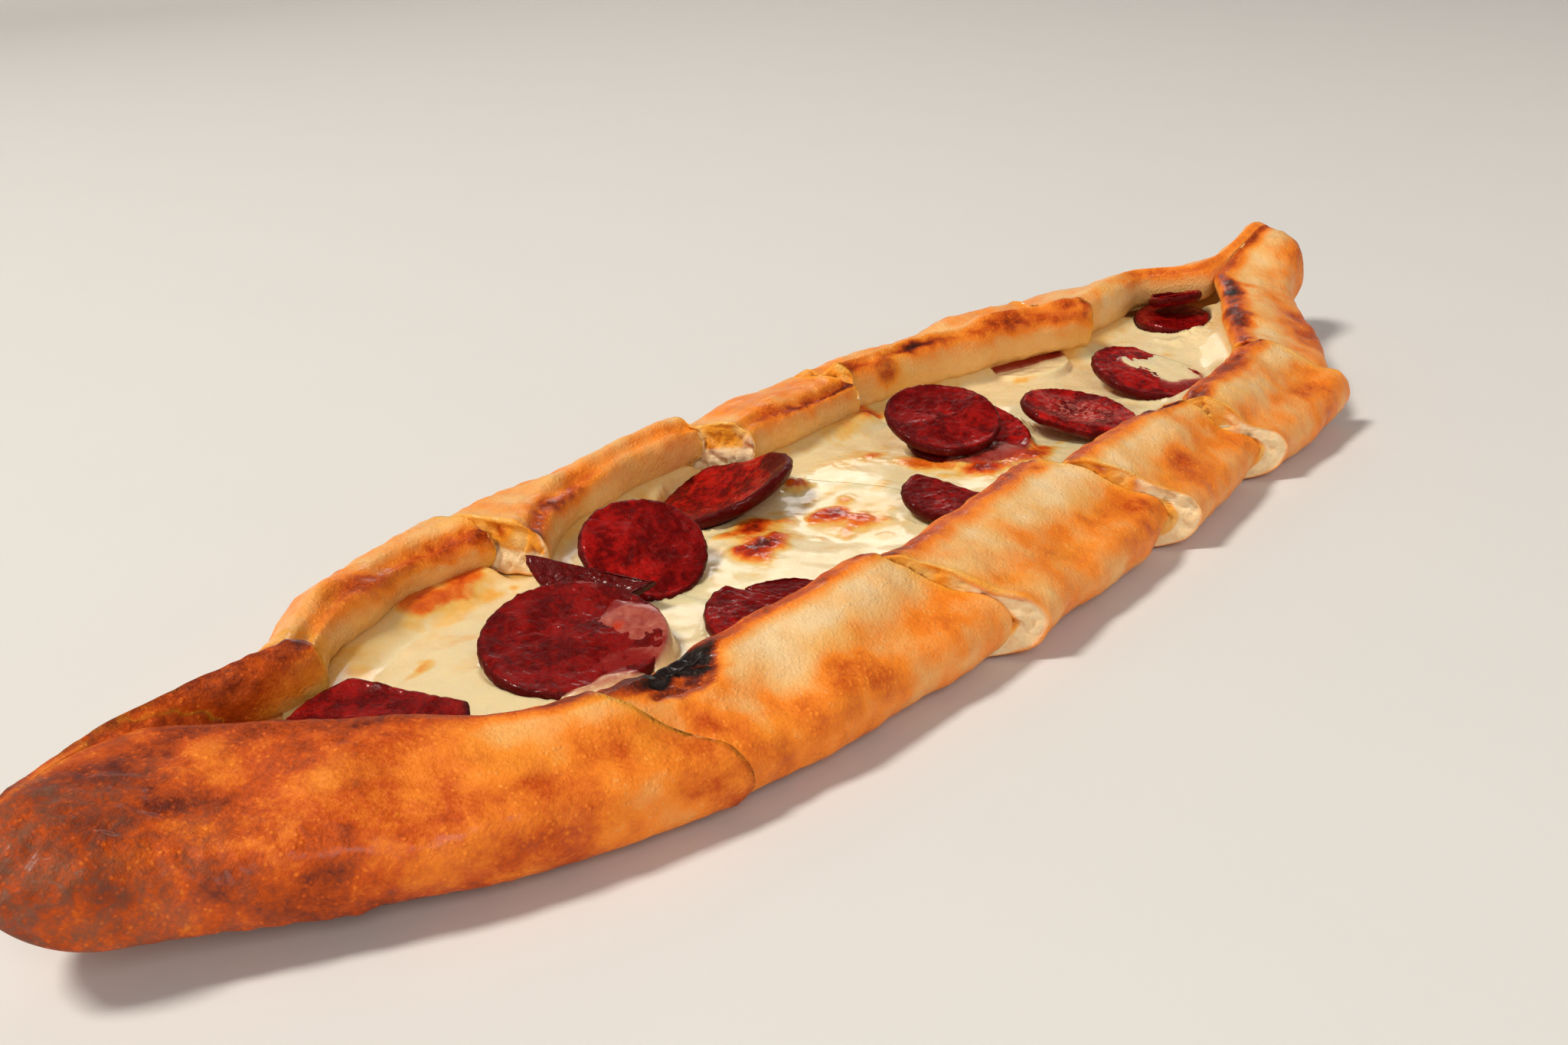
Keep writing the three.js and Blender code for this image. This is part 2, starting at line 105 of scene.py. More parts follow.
SLICES = [
    Slice(
        "end_sharp",
        ((20, -29), 0, 18.5, 25, 7.5, 1.2),
        ((20, 18), 1, 18, 26, 12.5, 0.5),
        (0, 0),
    ),
    Slice(
        "slice_1",
        ((-30, -34), 0, 16, 24, 7.5, 0.8),
        ((20, 41), 7.5, 23.5, 24, 11, 0.5),
        (1, 2),
        2,
    ),
    Slice(
        "slice_2",
        ((-34, -29), 0.5, 15.5, 24, 7, 0.8),
        ((33, 47), 7, 24, 24.5, 11.5, 0.5),
        (-2, 1),
        2.5,
    ),
    Slice(
        "slice_3",
        ((-33, -36), 1.5, 15.5, 23.5, 7, 0.8),
        ((38, 37), 1, 23, 24.5, 11.5, 0),
        (-3, 1),
        1.5,
    ),
    Slice(
        "slice_4",
        ((-36, -26), 1, 16, 24, 7, 1),
        ((43, 21), 4, 26, 28.8, 15, -4),
        (-3, -4),
    ),
    Slice(
        "end_blunt",
        ((-34, 6), 0, 17, 24, 7, 1),
        ((21, 25), 0, 22, 27, 14, 0),
        (1, 0),
    ),
]

# ---- Helpers ----


def smooth(a, b, x):
    """A soft step from 0 at a to 1 at b: 3 t squared minus 2 t cubed."""
    t = np.clip((np.asarray(x, float) - a) / (b - a), 0, 1)
    return t * t * (3 - 2 * t)


def mix(a, b, t):
    """The value a share t of the way from a to b."""
    return a + (b - a) * t


WAVES = 26


def ripple(points, size, seed):
    """An even random field of about unit height: a sum of cosines whose directions, phases and
    lengths near the given size in millimetres are drawn from the seed."""
    rng = np.random.default_rng(seed)
    direction = rng.normal(size=(3, WAVES))
    direction /= np.linalg.norm(direction, axis=0)
    numbers = 2 * np.pi / (size * rng.uniform(0.7, 1.6, WAVES))
    phase = rng.uniform(0, 2 * np.pi, WAVES)
    flat = points.reshape(-1, 3)
    field = np.cos(flat @ (direction * numbers) + phase).sum(1) / np.sqrt(WAVES / 2)
    return field.reshape(points.shape[:-1])


def spot(points, place, size, turn=0.0, seed=0, rough=0.25, hard=1.0):
    """A patch seen from above, 1 in its middle and falling off over an ellipse with a ragged edge:
    the exponential of minus the squared distance over its half sizes, raised to a power."""
    x, y = points[..., 0] - place[0], points[..., 1] - place[1]
    c, s = np.cos(np.radians(turn)), np.sin(np.radians(turn))
    u, v = (c * x + s * y) / size[0], (c * y - s * x) / size[1]
    ragged = np.maximum(0.6, 1 + rough * ripple(points, 0.9 * min(size) + 2.5, seed + 11))
    return np.exp(-((u * u + v * v) * ragged**2) ** hard)


def linear(red, green, blue):
    """A display colour from 0 to 255 as a linear colour from 0 to 1."""
    c = np.array([red, green, blue]) / 255
    return tuple(float(v) for v in np.where(c <= 0.04045, c / 12.92, ((c + 0.055) / 1.055) ** 2.4))


# ---- The dough as functions of x and of the way round its section ----


def nose(x):
    """1 along the bread, and over each tip a quarter of an ellipse down to nothing."""
    into = np.maximum(0, np.maximum(TIPS["sharp"] + NOSE - x, x - TIPS["blunt"] + NOSE)) / NOSE
    return np.sqrt(np.maximum(0, 1 - into * into))


def half_width(x, side):
    """A side's distance from the middle line: cubic Hermite pieces through the outline, whose
    slope at each point is that of the chord between its neighbours."""
    xs, ws = OUTLINE_X, OUTLINE[side]
    before = np.maximum(np.arange(len(xs)) - 1, 0)
    after = np.minimum(np.arange(len(xs)) + 1, len(xs) - 1)
    slope = (ws[after] - ws[before]) / (xs[after] - xs[before])
    i = np.clip(np.searchsorted(xs, x) - 1, 0, len(xs) - 2)
    span = xs[i + 1] - xs[i]
    t = np.clip((x - xs[i]) / span, 0, 1)
    start = ws[i] * (2 * t**3 - 3 * t * t + 1) + span * slope[i] * (t**3 - 2 * t * t + t)
    end = ws[i + 1] * (3 * t * t - 2 * t**3) + span * slope[i + 1] * (t**3 - t * t)
    return (start + end) * nose(x)


def side_width(piece, x, t, side):
    """A slice's half width on one side, its near side drawn in softly over the slice's end."""
    drawn = piece.pinch * smooth(PINCH_FROM, 1, t) if side == "near" else 0.0
    return half_width(x, side) - drawn


def fullness(x):
    """The share of the full height that is left towards a tip."""
    return mix(1, TIP_FULLNESS, smooth(140, 200, np.abs(x))) * nose(x)


def tip_rise(x):
    """How far the underside lifts: a parabola from where the tips curl up, and at a tip's end up
    to the point that it shrinks to."""
    tip = np.where(x < 0, TIP_RISE["sharp"], TIP_RISE["blunt"])
    reach = np.where(x < 0, -TIPS["sharp"], TIPS["blunt"]) - TIP_RISE_FROM
    past = np.maximum(0, np.abs(x) - TIP_RISE_FROM) / reach
    return tip * past * past + TIP_MIDDLE * (1 - nose(x))


def hollow(x):
    """The share of the hollow that is left: 1 along the opening and next to nothing past it."""
    past = np.maximum(np.maximum(OPENING_FROM - x, x - OPENING_TO), 0)
    return mix(1, SHUT_HOLLOW, smooth(0, OPENING_FADE, past))


def lip_lines(piece, x, t):
    """The lips' y at a share t of a slice: a straight line with a bow, and near a tip both lips
    run together on a rounded line and on as a seam."""
    near = mix(piece.near.lip[0], piece.near.lip[1], t) + 4 * piece.near.bow * t * (1 - t)
    far = mix(piece.far.lip[0], piece.far.lip[1], t) + 4 * piece.far.bow * t * (1 - t)
    if piece.name == "end_sharp":
        opened = smooth(OPENING_FROM, OPENING_FROM + OPENING_TAPER["sharp"], x) ** 0.65
        seam = piece.far.lip[0] * smooth(TIPS["sharp"] - 10, OPENING_FROM, x)
        far = mix(seam, far, smooth(OPENING_FROM, OPENING_FROM + 30, x))
        near = mix(seam - SEAM_GAP, piece.near.lip[1], opened)
    if piece.name == "end_blunt":
        taper = OPENING_TAPER["blunt"]
        crossed = np.clip((x - OPENING_TO + taper) / (taper - 2), 0, 1)
        shut = smooth(0, 1, (x - OPENING_TO + 24) / 24)
        near = mix(piece.near.lip[0], piece.near.lip[1], crossed)
        far = mix(far, piece.near.lip[1] + SEAM_GAP, shut**2)
    return near, far


def side_section(fold, width, lip, sign, x):
    """One side's outline as outer and inner points from the middle of the floor round the roll to
    the lip, and three points of the lip's face, each a distance from the middle and a height."""
    tight = np.minimum(1, width / NARROW)
    r = ROLL * tight
    roll = fold.roll + 0.5 * np.sin(x / 17 + sign)
    top = fold.top + 0.6 * np.sin(x / 21 + 2 * sign)
    under = top - fold.wall
    middle = mix(width - 0.9 * r, lip + 5 * tight, 0.5)
    pocket = np.maximum(width - 1.6 * r, np.minimum(width - 1.15 * r, lip + 2 * tight))
    outer = [
        (0 * x, 0 * x),
        (0.5 * (width - r), 0 * x),
        (width - r, 0 * x),
        (width - 0.22 * r, 0.3 * r),
        (width, 0.9 * r),
        (width - 0.26 * r, mix(0.9 * r, roll, 0.7)),
        (width - 0.9 * r, roll),
        (middle, mix(roll, top, 0.55) + fold.dome),
        (lip + 5 * tight, top),
    ]
    inner = [
        (0 * x, 0 * x + FLOOR),
        (0.5 * (width - 1.6 * r), 0 * x + FLOOR),
        (width - 1.6 * r, 0 * x + FLOOR),
        (width - 1.15 * r, 0 * x + FLOOR + 0.1),
        (width - 0.95 * r, 0 * x + FOLD_SIDE),
        (width - 1.15 * r, 0 * x + FOLD_SHOULDER),
        (pocket, 0 * x + FOLD_ROOF),
        (mix(pocket, lip + 3 * tight, 0.5), np.maximum(FOLD_ROOF, under - 1)),
        (lip + 3 * tight, under),
    ]
    face = [
        (lip + 1.2 * tight, top - 0.14 * fold.wall),
        (lip, top - 0.5 * fold.wall),
        (lip + 0.8 * tight, under + 0.14 * fold.wall),
    ]
    return outer, inner, face


# Points on each stretch of a section, from the middle of the floor to a lip, then over its face.
STRETCHES = (3, 5, 7, 7, 8, 8, 12, 12)
FACE_STRETCHES = (5, 5, 5, 5)
CORNERS = 40
HALF_LIP = sum(STRETCHES) + 10
ROUND = 4 * HALF_LIP
COLUMN = np.arange(ROUND)
PARTNER = (2 * HALF_LIP - COLUMN) % ROUND


def section_weights():
    """How much each of the corners weighs in each point of the loop: the loop of straight
    stretches, blurred along its points by a bell curve so that its corners are rounded."""
    counts = [*STRETCHES, *FACE_STRETCHES, *STRETCHES[::-1]] * 2
    place = np.concatenate([i + np.arange(n) / n for i, n in enumerate(counts)])
    corner = np.floor(place).astype(int)
    straight = np.zeros((ROUND, CORNERS))
    straight[COLUMN, corner] = 1 - (place - corner)
    straight[COLUMN, (corner + 1) % CORNERS] += place - corner
    apart = (COLUMN[:, None] - COLUMN + ROUND // 2) % ROUND - ROUND // 2
    way = np.where(COLUMN <= 2 * HALF_LIP, place, CORNERS - place)
    softness = 2.0 - 1.15 * smooth(7.2, 7.9, way) * smooth(12.6, 11.9, way)
    blur = np.exp(-0.5 * (apart / softness[:, None]) ** 2)
    return blur / blur.sum(1, keepdims=True) @ straight, place


WEIGHTS, PLACE = section_weights()
FAR = COLUMN <= 2 * HALF_LIP
# The way round a side: 0 under the middle, 4 at the side, 6 on the roll, 8 on the lip's edge,
# 10 in the middle of its face, 12 under it, and 20 back in the middle, inside.
WAY = np.where(FAR, PLACE, CORNERS - PLACE)


def section(piece, x, t):
    """y and z of each loop point at its own x: the corners of both sides at that x, the hollow
    shrunk towards the seam where the ends are shut, weighed and lifted with the tips."""
    near, far = lip_lines(piece, x, t)
    wave = 0.5 * np.sin(x / 5.3 + 1) + 0.25 * np.sin(x / 2.9) + 0.5 * np.sin(x / 9.1 + 2)
    left = hollow(x)
    widths = side_width(piece, x, t, "far"), side_width(piece, x, t, "near")
    wave = wave * left
    a_outer, a_inner, a_face = side_section(piece.far, widths[0], far + 0.7 * wave, 1, x)
    b_outer, b_inner, b_face = side_section(piece.near, widths[1], 0.5 * wave - near, -1, x)
    seam = 0.5 * (near + far)
    top = 0.5 * (a_outer[-1][1] + b_outer[-1][1])

    def inside(p):
        return seam + (p[0] - seam) * left, top + (p[1] - top) * left

    def flip(p):
        return -p[0], p[1]

    corners = [
        *a_outer,
        *[inside(p) for p in a_face],
        *[inside(p) for p in a_inner[:0:-1]],
        inside(a_inner[0]),
        *[inside(flip(p)) for p in b_inner[1:]],
        *[inside(flip(p)) for p in b_face[::-1]],
        *[flip(p) for p in b_outer[:0:-1]],
    ]
    y = np.einsum("ji,irj->rj", WEIGHTS, np.array([c[0] for c in corners]))
    z = np.einsum("ji,irj->rj", WEIGHTS, np.array([c[1] for c in corners]))
    return y, z * fullness(x) + tip_rise(x)


def cut_at(index, t, kerf, ends):
    """A surface between a slice's two cuts, as its x, lean and bend at a share t."""
    first = CUTS[index - 1] if index > 0 else None
    last = CUTS[index] if index < len(CUTS) else None
    start = (first[0] + kerf / 2, first[1], first[2]) if first else (ends[0], 0, 0)
    end = (last[0] - kerf / 2, last[1], last[2]) if last else (ends[1], 0, 0)
    return tuple(mix(a, b, t) for a, b in zip(start, end))


def cut_x(cut, y):
    """x on a cut at y: a straight lean, and past the near lip a soft bend."""
    past = BEND_AT - y
    return cut[0] + cut[1] * y - cut[2] * 0.5 * (past + np.sqrt(past * past + BEND_SOFT**2))


def dough_rows(piece, index, t, kerf):
    """Rows of section points, each on its surface between the cuts: x is first the cut's own, and
    is put right six times from the y that its section gives."""
    cut = cut_at(index, t[:, None], kerf, (TIPS["sharp"], TIPS["blunt"]))
    slid = mix(piece.slid[0], piece.slid[1], t)[:, None]
    x = cut[0] + np.zeros((len(t), ROUND))
    for _ in range(6):
        y, z = section(piece, x, t[:, None] + 0 * x)
        x = cut_x(cut, y + slid)
    return np.stack([x, y + slid, z], -1)


# ---- Meshes ----


def grid_faces(index, wrap):
    """Two triangles for each cell of a grid of vertex numbers, less those that shrank to a line."""
    a = index[:-1, :]
    b = index[1:, :]
    if wrap:
        c, d = np.roll(b, -1, 1), np.roll(a, -1, 1)
    else:
        c, d, a, b = b[:, 1:], a[:, 1:], a[:, :-1], b[:, :-1]
    tri = np.concatenate([np.stack(three, -1).reshape(-1, 3) for three in ((a, d, c), (a, c, b))])
    keep = (tri[:, 0] != tri[:, 1]) & (tri[:, 1] != tri[:, 2]) & (tri[:, 0] != tri[:, 2])
    return tri[keep]


def normals_of(points, tri):
    """A unit normal at each vertex: the sum of its triangles' area vectors."""
    a, b, c = (points[tri[:, k]] for k in range(3))
    face = np.cross(b - a, c - a)
    count = len(points)
    total = [sum(np.bincount(tri[:, k], face[:, m], count) for k in range(3)) for m in range(3)]
    total = np.stack(total, -1)
    return total / np.maximum(np.linalg.norm(total, axis=1, keepdims=True), 1e-12)


def make_piece(name, points, tri, fields, material, node, crease=()):
    """A mesh piece in metres with its fields as point attributes, standing for its CAD node. Edges
    between two of the creased points stay sharp."""
    used = np.unique(tri)
    renumber = np.zeros(len(points), int)
    renumber[used] = np.arange(len(used))
    points, tri = points[used] * MM, renumber[tri]
    mesh = bpy.data.meshes.new(name)
    mesh.vertices.add(len(points))
    mesh.vertices.foreach_set("co", points.astype(np.float32).ravel())
    mesh.loops.add(3 * len(tri))
    mesh.loops.foreach_set("vertex_index", tri.astype(np.int32).ravel())
    mesh.polygons.add(len(tri))
    mesh.polygons.foreach_set("loop_start", np.arange(0, 3 * len(tri), 3, dtype=np.int32))
    mesh.polygons.foreach_set("use_smooth", np.ones(len(tri), bool))
    for key, values in fields.items():
        attribute = mesh.attributes.new(key, "FLOAT", "POINT")
        attribute.data.foreach_set("value", values.ravel()[used].astype(np.float32))
    mesh.update(calc_edges=True)
    mesh.validate()
    ends = np.empty(2 * len(mesh.edges), np.int32)
    mesh.edges.foreach_get("vertices", ends)
    creased = np.isin(ends.reshape(-1, 2), renumber[np.asarray(crease, int)]).all(1)
    mesh.edges.foreach_set("use_edge_sharp", creased)
    mesh.materials.append(material)
    piece = bpy.data.objects.new(name, mesh)
    bpy.context.scene.collection.objects.link(piece)
    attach(piece, "root")
    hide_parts(node)


# ---- Shader writing ----


class Value:
    """A value in a material: its operators add Math nodes."""

    def __init__(self, look, socket):
        self.look, self.socket = look, socket

    def _with(self, operation, other, swapped=False):
        first, second = (other, self) if swapped else (self, other)
        return self.look.math(operation, first, second)

    def __add__(self, other):
        return self._with("ADD", other)

    def __radd__(self, other):
        return self._with("ADD", other, True)

    def __sub__(self, other):
        return self._with("SUBTRACT", other)

    def __rsub__(self, other):
        return self._with("SUBTRACT", other, True)

    def __mul__(self, other):
        return self._with("MULTIPLY", other)


class Look:
    """A material under construction, with one method that adds any node."""

    def __init__(self, name):
        self.material = bpy.data.materials.new(name)
        self.material.use_nodes = True
        self.tree = self.material.node_tree
        self.tree.nodes.clear()
        self.coords = self.node("ShaderNodeTexCoord", out="Object")

    def node(self, kind, settings=None, values=None, out=0):
        """Adds a node, applies its settings first, then sets or links its sockets, and gives one
        of its outputs."""
        node = self.tree.nodes.new(kind)
        for key, value in (settings or {}).items():
            if key == "stops":
                ramp = node.color_ramp
                while len(ramp.elements) < len(value):
                    ramp.elements.new(1)
                for element, (at, colour) in zip(ramp.elements, value):
                    element.position = at
                    element.color = (*colour[:3], 1)
            else:
                setattr(node, key, value)
        for key, value in (values or {}).items():
            socket = node.inputs[key]
            if isinstance(value, Value):
                self.tree.links.new(value.socket, socket)
            elif socket.type == "RGBA":
                socket.default_value = (*value[:3], 1)
            else:
                socket.default_value = value
        return Value(self, node.outputs[out]) if node.outputs else None

    def math(self, operation, a, b, clamp=False):
        settings = {"operation": operation, "use_clamp": clamp}
        return self.node("ShaderNodeMath", settings, {0: a, 1: b})

    def field(self, name):
        """The value of a point attribute."""
        return self.node("ShaderNodeAttribute", {"attribute_name": name}, out="Fac")

    def noise(self, size_mm, detail=2.0, roughness=0.5, warp=0.0):
        """Soft noise from 0 to 1 whose lumps are about size_mm across."""
        return self.node(
            "ShaderNodeTexNoise",
            {"noise_dimensions": "3D"},
            {
                "Vector": self.coords,
                "Scale": 1000 / size_mm,
                "Detail": detail,
                "Roughness": roughness,
                "Distortion": warp,
            },
        )

    def cells(self, size_mm):
        """Distances from the middles of a pattern of cells about size_mm across."""
        return self.node(
            "ShaderNodeTexVoronoi",
            {"feature": "F1"},
            {"Vector": self.coords, "Scale": 1000 / size_mm},
            out="Distance",
        )

    def step(self, value, low, high, to_low=0.0, to_high=1.0):
        """A soft step of a value from to_low at low to to_high at high."""
        return self.node(
            "ShaderNodeMapRange",
            {"interpolation_type": "SMOOTHSTEP"},
            {"Value": value, 1: low, 2: high, 3: to_low, 4: to_high},
        )

    def ramp(self, value, stops):
        """A colour that changes with a value, from stops of a place and a colour."""
        return self.node("ShaderNodeValToRGB", {"stops": stops}, {"Fac": value})

    def blend(self, share, a, b):
        """Colour a turned towards colour b by a share."""
        return self.node("ShaderNodeMix", {"data_type": "RGBA"}, {0: share, 6: a, 7: b}, out=2)

    def bump(self, height, depth_mm):
        """A normal tilted by a height field of depth_mm."""
        values = {"Height": height, "Strength": 1.0, "Distance": depth_mm * MM}
        return self.node("ShaderNodeBump", None, values, out="Normal")

    def finish(self, constants, varying):
        """Ends in one Principled shader, with constants on its sockets and the rest linked."""
        shader = self.node("ShaderNodeBsdfPrincipled", None, {**constants, **varying}, out="BSDF")
        self.node("ShaderNodeOutputMaterial", None, {"Surface": shader})
        return self.material


# ---- Settings ----


def colour(name, description, *rgb):
    """A colour, from its display values."""
    return bpy.props.FloatVectorProperty(
        name=name,
        description=description,
        subtype="COLOR",
        size=3,
        min=0,
        max=1,
        default=linear(*rgb),
    )


def amount(name, description, unit, default):
    """A number that isn't below 0."""
    return bpy.props.FloatProperty(
        name=name, description=description, unit=unit, default=default, min=0, precision=5
    )


def length(name, description, mm):
    """A length, from millimetres."""
    return amount(name, description, "LENGTH", mm * MM)


def power(name, description, watts):
    """A power, from watts."""
    return amount(name, description, "POWER", watts)


class DoughSettings(bpy.types.PropertyGroup):
    """Sizes and colours of the baked dough."""

    kerf: length("Kerf", "Width of a knife cut through the dough", 0.7)
    puff: length("Puff", "Height of the broad swells of the crust", 0.45)
    dimple: length("Dimple", "Height of the small swells of the crust", 0.13)
    crumb_depth: length("Crumb depth", "Depth of the torn bubbles in a cut face", 0.5)
    pale: colour("Pale dough", "Dough that has hardly browned", 246, 208, 154)
    golden: colour("Golden crust", "Lightly baked crust", 246, 184, 110)
    orange: colour("Orange crust", "Well baked crust", 250, 138, 38)
    rust: colour("Rust crust", "Deeply baked crust", 202, 80, 10)
    brown: colour("Brown crust", "Scorched crust", 116, 34, 5)
    black: colour("Black crust", "Charred crust", 24, 12, 8)
    crumb: colour("Crumb", "The inside of the dough", 250, 220, 172)
    flour: colour("Flour", "Flour baked onto the tips", 130, 84, 60)
    oil: colour("Oil", "Butter and oil that ran along the cuts", 244, 178, 52)


class CheeseSettings(bpy.types.PropertyGroup):
    """Sizes and colours of the melted cheese."""

    thickness: length("Thickness", "Height of the cheese in the middle, above the table", 12.2)
    blister: length("Blister", "Height of a browned blister", 1.1)
    cream: colour("Melted cheese", "The cheese where it has not browned", 241, 217, 164)
    yellow: colour("Oily cheese", "Cheese that has started to colour", 240, 186, 92)
    toasted: colour("Toasted cheese", "Cheese browned by the oven", 232, 112, 24)
    rust: colour("Rust cheese", "Cheese browned deeply", 190, 50, 10)
    burnt: colour("Burnt cheese", "The darkest blisters", 96, 24, 10)
    soaked: colour("Soaked film", "The thinnest cheese over a round of sausage", 138, 18, 8)
    film: colour("Cheese film", "Thin cheese over a round of sausage", 192, 104, 84)


class SausageSettings(bpy.types.PropertyGroup):
    """Sizes and colours of the rounds of sausage."""

    thickness: length("Thickness", "Thickness of a round", 3.0)
    grain: length("Grain", "Height of the grain of a round's face", 0.09)
    meat: colour("Meat", "The face of a round", 178, 15, 8)
    dark: colour("Dark meat", "Its darker grain", 92, 4, 4)
    rind: colour("Rind", "Its edge", 66, 4, 4)
    fat: colour("Fat", "Its flecks of fat", 190, 62, 40)
    marbling: colour("Marbling", "Pale fat in the middle of some rounds", 216, 124, 108)


class StageSettings(bpy.types.PropertyGroup):
    """The floor and the lights."""

    key: power("Key light", "Power of the main light", 72)
    fill: power("Fill light", "Power of the soft light", 37)
    shine: power("Shine", "Power of the low light behind", 3)
    sky: amount("Sky", "Strength of the even light", "NONE", 0.16)
    floor: colour("Floor", "The pale floor", 226, 222, 216)


# ---- Dough ----

ROWS = 92  # of a middle slice
END_ROWS = 128  # of a slice with a tip
CAP_ROWS = 9  # of a cut face
NO_CUT = 99.0  # a tip is taken to be this far from a cut

# How baked the dough is along the way round its section, in hundredths from raw to charred.
BAKE_WAY = np.array([0, 2, 3, 4, 5, 6, 6.6, 7, 7.5, 7.8, 8.1, 8.6, 9.2, 10, 11, 12, 14, 20])
BAKE = {
    "near": [50, 44, 34, 33, 36, 37, 25, 12, 11, 38, 64, 68, 50, 34, 22, 14, 8, 2],
    "far": [50, 42, 36, 38, 38, 34, 31, 29, 28, 30, 38, 42, 34, 20, 12, 12, 8, 2],
    "sharp_near": [76, 75, 73, 67, 63, 61, 59, 58, 59, 64, 72, 70, 55, 40, 24, 14, 10, 2],
    "sharp_far": [60, 56, 56, 58, 60, 66, 72, 76, 82, 86, 84, 66, 40, 28, 22, 16, 10, 2],
}
BAKE = {key: np.array(values) / 100 for key, values in BAKE.items()}

# Patches of the crust, seen from above: place, half sizes, turn, how much more they are baked.
PATCHES = [
    ((-106.5, -35.8), (5, 1.6), -6, 0.3),
    ((-99, -37.5), (11, 7), -8, 0.24),
    ((-159, 3), (8, 4), -52, 0.26),
    ((-150, -7), (10, 3), -50, 0.22),
    ((-190, -13), (8, 5), -40, 0.08),
    ((-168, -29), (9, 5), -40, 0.1),
    ((-186, 4), (14, 5), 10, 0.12),
    ((-175, -18), (10, 6), -40, -0.06),
    ((-201, 1), (15, 10), 0, 0.22),
    ((-169, 11), (12, 4), 25, 0.12),
    ((-180, -4), (9, 5), -35, 0.08),
    # Painted light: this patch makes the far fold's inner face by the blunt end paler, so that it
    # looks lit where it lies in shade.
    ((147, 20), (8, 8), 0, -0.24),
    ((-97, -55), (18, 5), 0, 0.14),
    ((-141, -32), (18, 8), -25, -0.08),
    ((-156, -36), (10, 3), -30, -0.12),
    ((-96, -50), (17, 5), -3, 0.1),
    ((-71, -56), (9, 4), 5, 0.1),
    ((-50, -52), (8, 5), 0, 0.1),
    ((-83, -43.5), (14, 6), 0, -0.2),
    ((-14, -53), (18, 5), 0, 0.1),
    ((5, -50), (12, 5), 0, 0.15),
    ((29, -53), (10, 6), 0, 0.12),
    ((-25, -60), (12, 3), 0, 0.06),
    ((-35, -43.5), (5, 2.4), 0, 0.1),
    ((-20, -40), (22, 6), 0, -0.08),
    ((18.5, -35.5), (4, 2), 0, 0.18),
    ((50, -51), (12, 5), 0, 0.14),
    ((41, -45), (8, 3), 0, 0.1),
    ((64, -36.5), (3.5, 1.8), 0, 0.28),
    ((80, -50), (12, 7), 0, 0.14),
    ((119, -44), (12, 6), 0, 0.16),
    ((104, -38), (16, 5), 0, 0.02),
    ((127, -52), (12, 5), 0, 0.16),
    ((-110, 52), (30, 14), 20, 0.02),
    ((4, 50), (5, 9), -20, 0.08),
    ((26, 50), (26, 7), -5, 0.08),
    ((102, 32), (7, 2.5), -20, 0.16),
    ((121, 22.5), (5, 2.5), -20, 0.3),
    ((172.5, -6), (7, 4), 38, 0.34),
    ((148, -20.5), (6, 3.6), 38, 0.26),
    ((160, -14), (12, 4), 38, 0.14),
    ((163, -35), (14, 7), 30, 0.2),
    ((148, -30), (10, 5), 30, -0.04),
    ((170, -18), (16, 10), 30, 0.18),
    ((205, 0), (12, 9), 0, 0.12),
]

# Bands along the far folds: place and half length along X, place and half size on the way round
# the section, how much more they are baked.
BANDS = [
    (-156, 17, 9.6, 1.2, 0.28),
    (-98, 22, 9.2, 0.7, 0.18),
    (-110, 27, 8.7, 0.4, 0.08),
    (-88, 10, 9.0, 0.8, 0.22),
    (-79, 5, 9.6, 1.2, 0.2),
    (-62, 13, 8.9, 0.5, 0.26),
    (-54, 5, 9.2, 0.8, 0.12),
    (-68, 8, 8.4, 0.5, 0.12),
    (28, 22, 8.7, 0.32, 0.36),
    (6, 6, 8.0, 0.8, 0.12),
    (66, 9, 8.6, 0.35, 0.42),
    (88, 22, 8.8, 0.5, 0.24),
    (55, 4, 9.7, 0.8, 0.4),
    (105, 16, 9.2, 0.5, 0.18),
    (126, 4, 9.4, 0.8, 0.2),
    (171, 14, 8.8, 0.6, 0.2),
    # Partly the pale dough of the far fold's inner face by the blunt end, partly painted light on
    # that face, which lies in shade.
    (148, 7, 10.2, 1.6, -0.24),
    (145, 8, 9.0, 0.7, 0.1),
]

# Flour on the tips: place, half sizes, how much.
FLOUR = [
    ((-206, -6), (13, 9), 0.9),
    ((-199, 3), (12, 8), 0.7),
    ((-192, -15), (14, 6), 0.55),
    ((217, -4), (6, 8), 0.4),
]

# Where oil and cheese soaked the dough: place, half sizes, how much.
OILY = [
    ((148, 22), (8, 7), 0.45),
    ((-136, 27), (7, 6), 0.9),
    ((57, 36), (6, 5), 0.4),
    ((-4, 40), (6, 6), 0.3),
]

# The burnt blister on the near flap: its place, half sizes and height.
CHAR_AT, CHAR_HALF, CHAR_HEIGHT = (-99, -35.6), (7.2, 5.2), 2.8

# The sharp end bakes darker than the slices up to its cut, and no darker than this.
SHARP_FADE = (-150, -118)
SHARP_EXTRA = 0.12
SHARP_DARKEST = 0.76

# Where the sharp end's far fold shuts behind its lip, from open to shut, and how baked it is.
SHUT_BEHIND = (-146, -158)
SHUT_BAKE = 0.68

RIDGE_HEIGHT = 0.9  # along the far lips
CUT_ROUNDING = 0.35  # how far the crust sinks at a knife cut


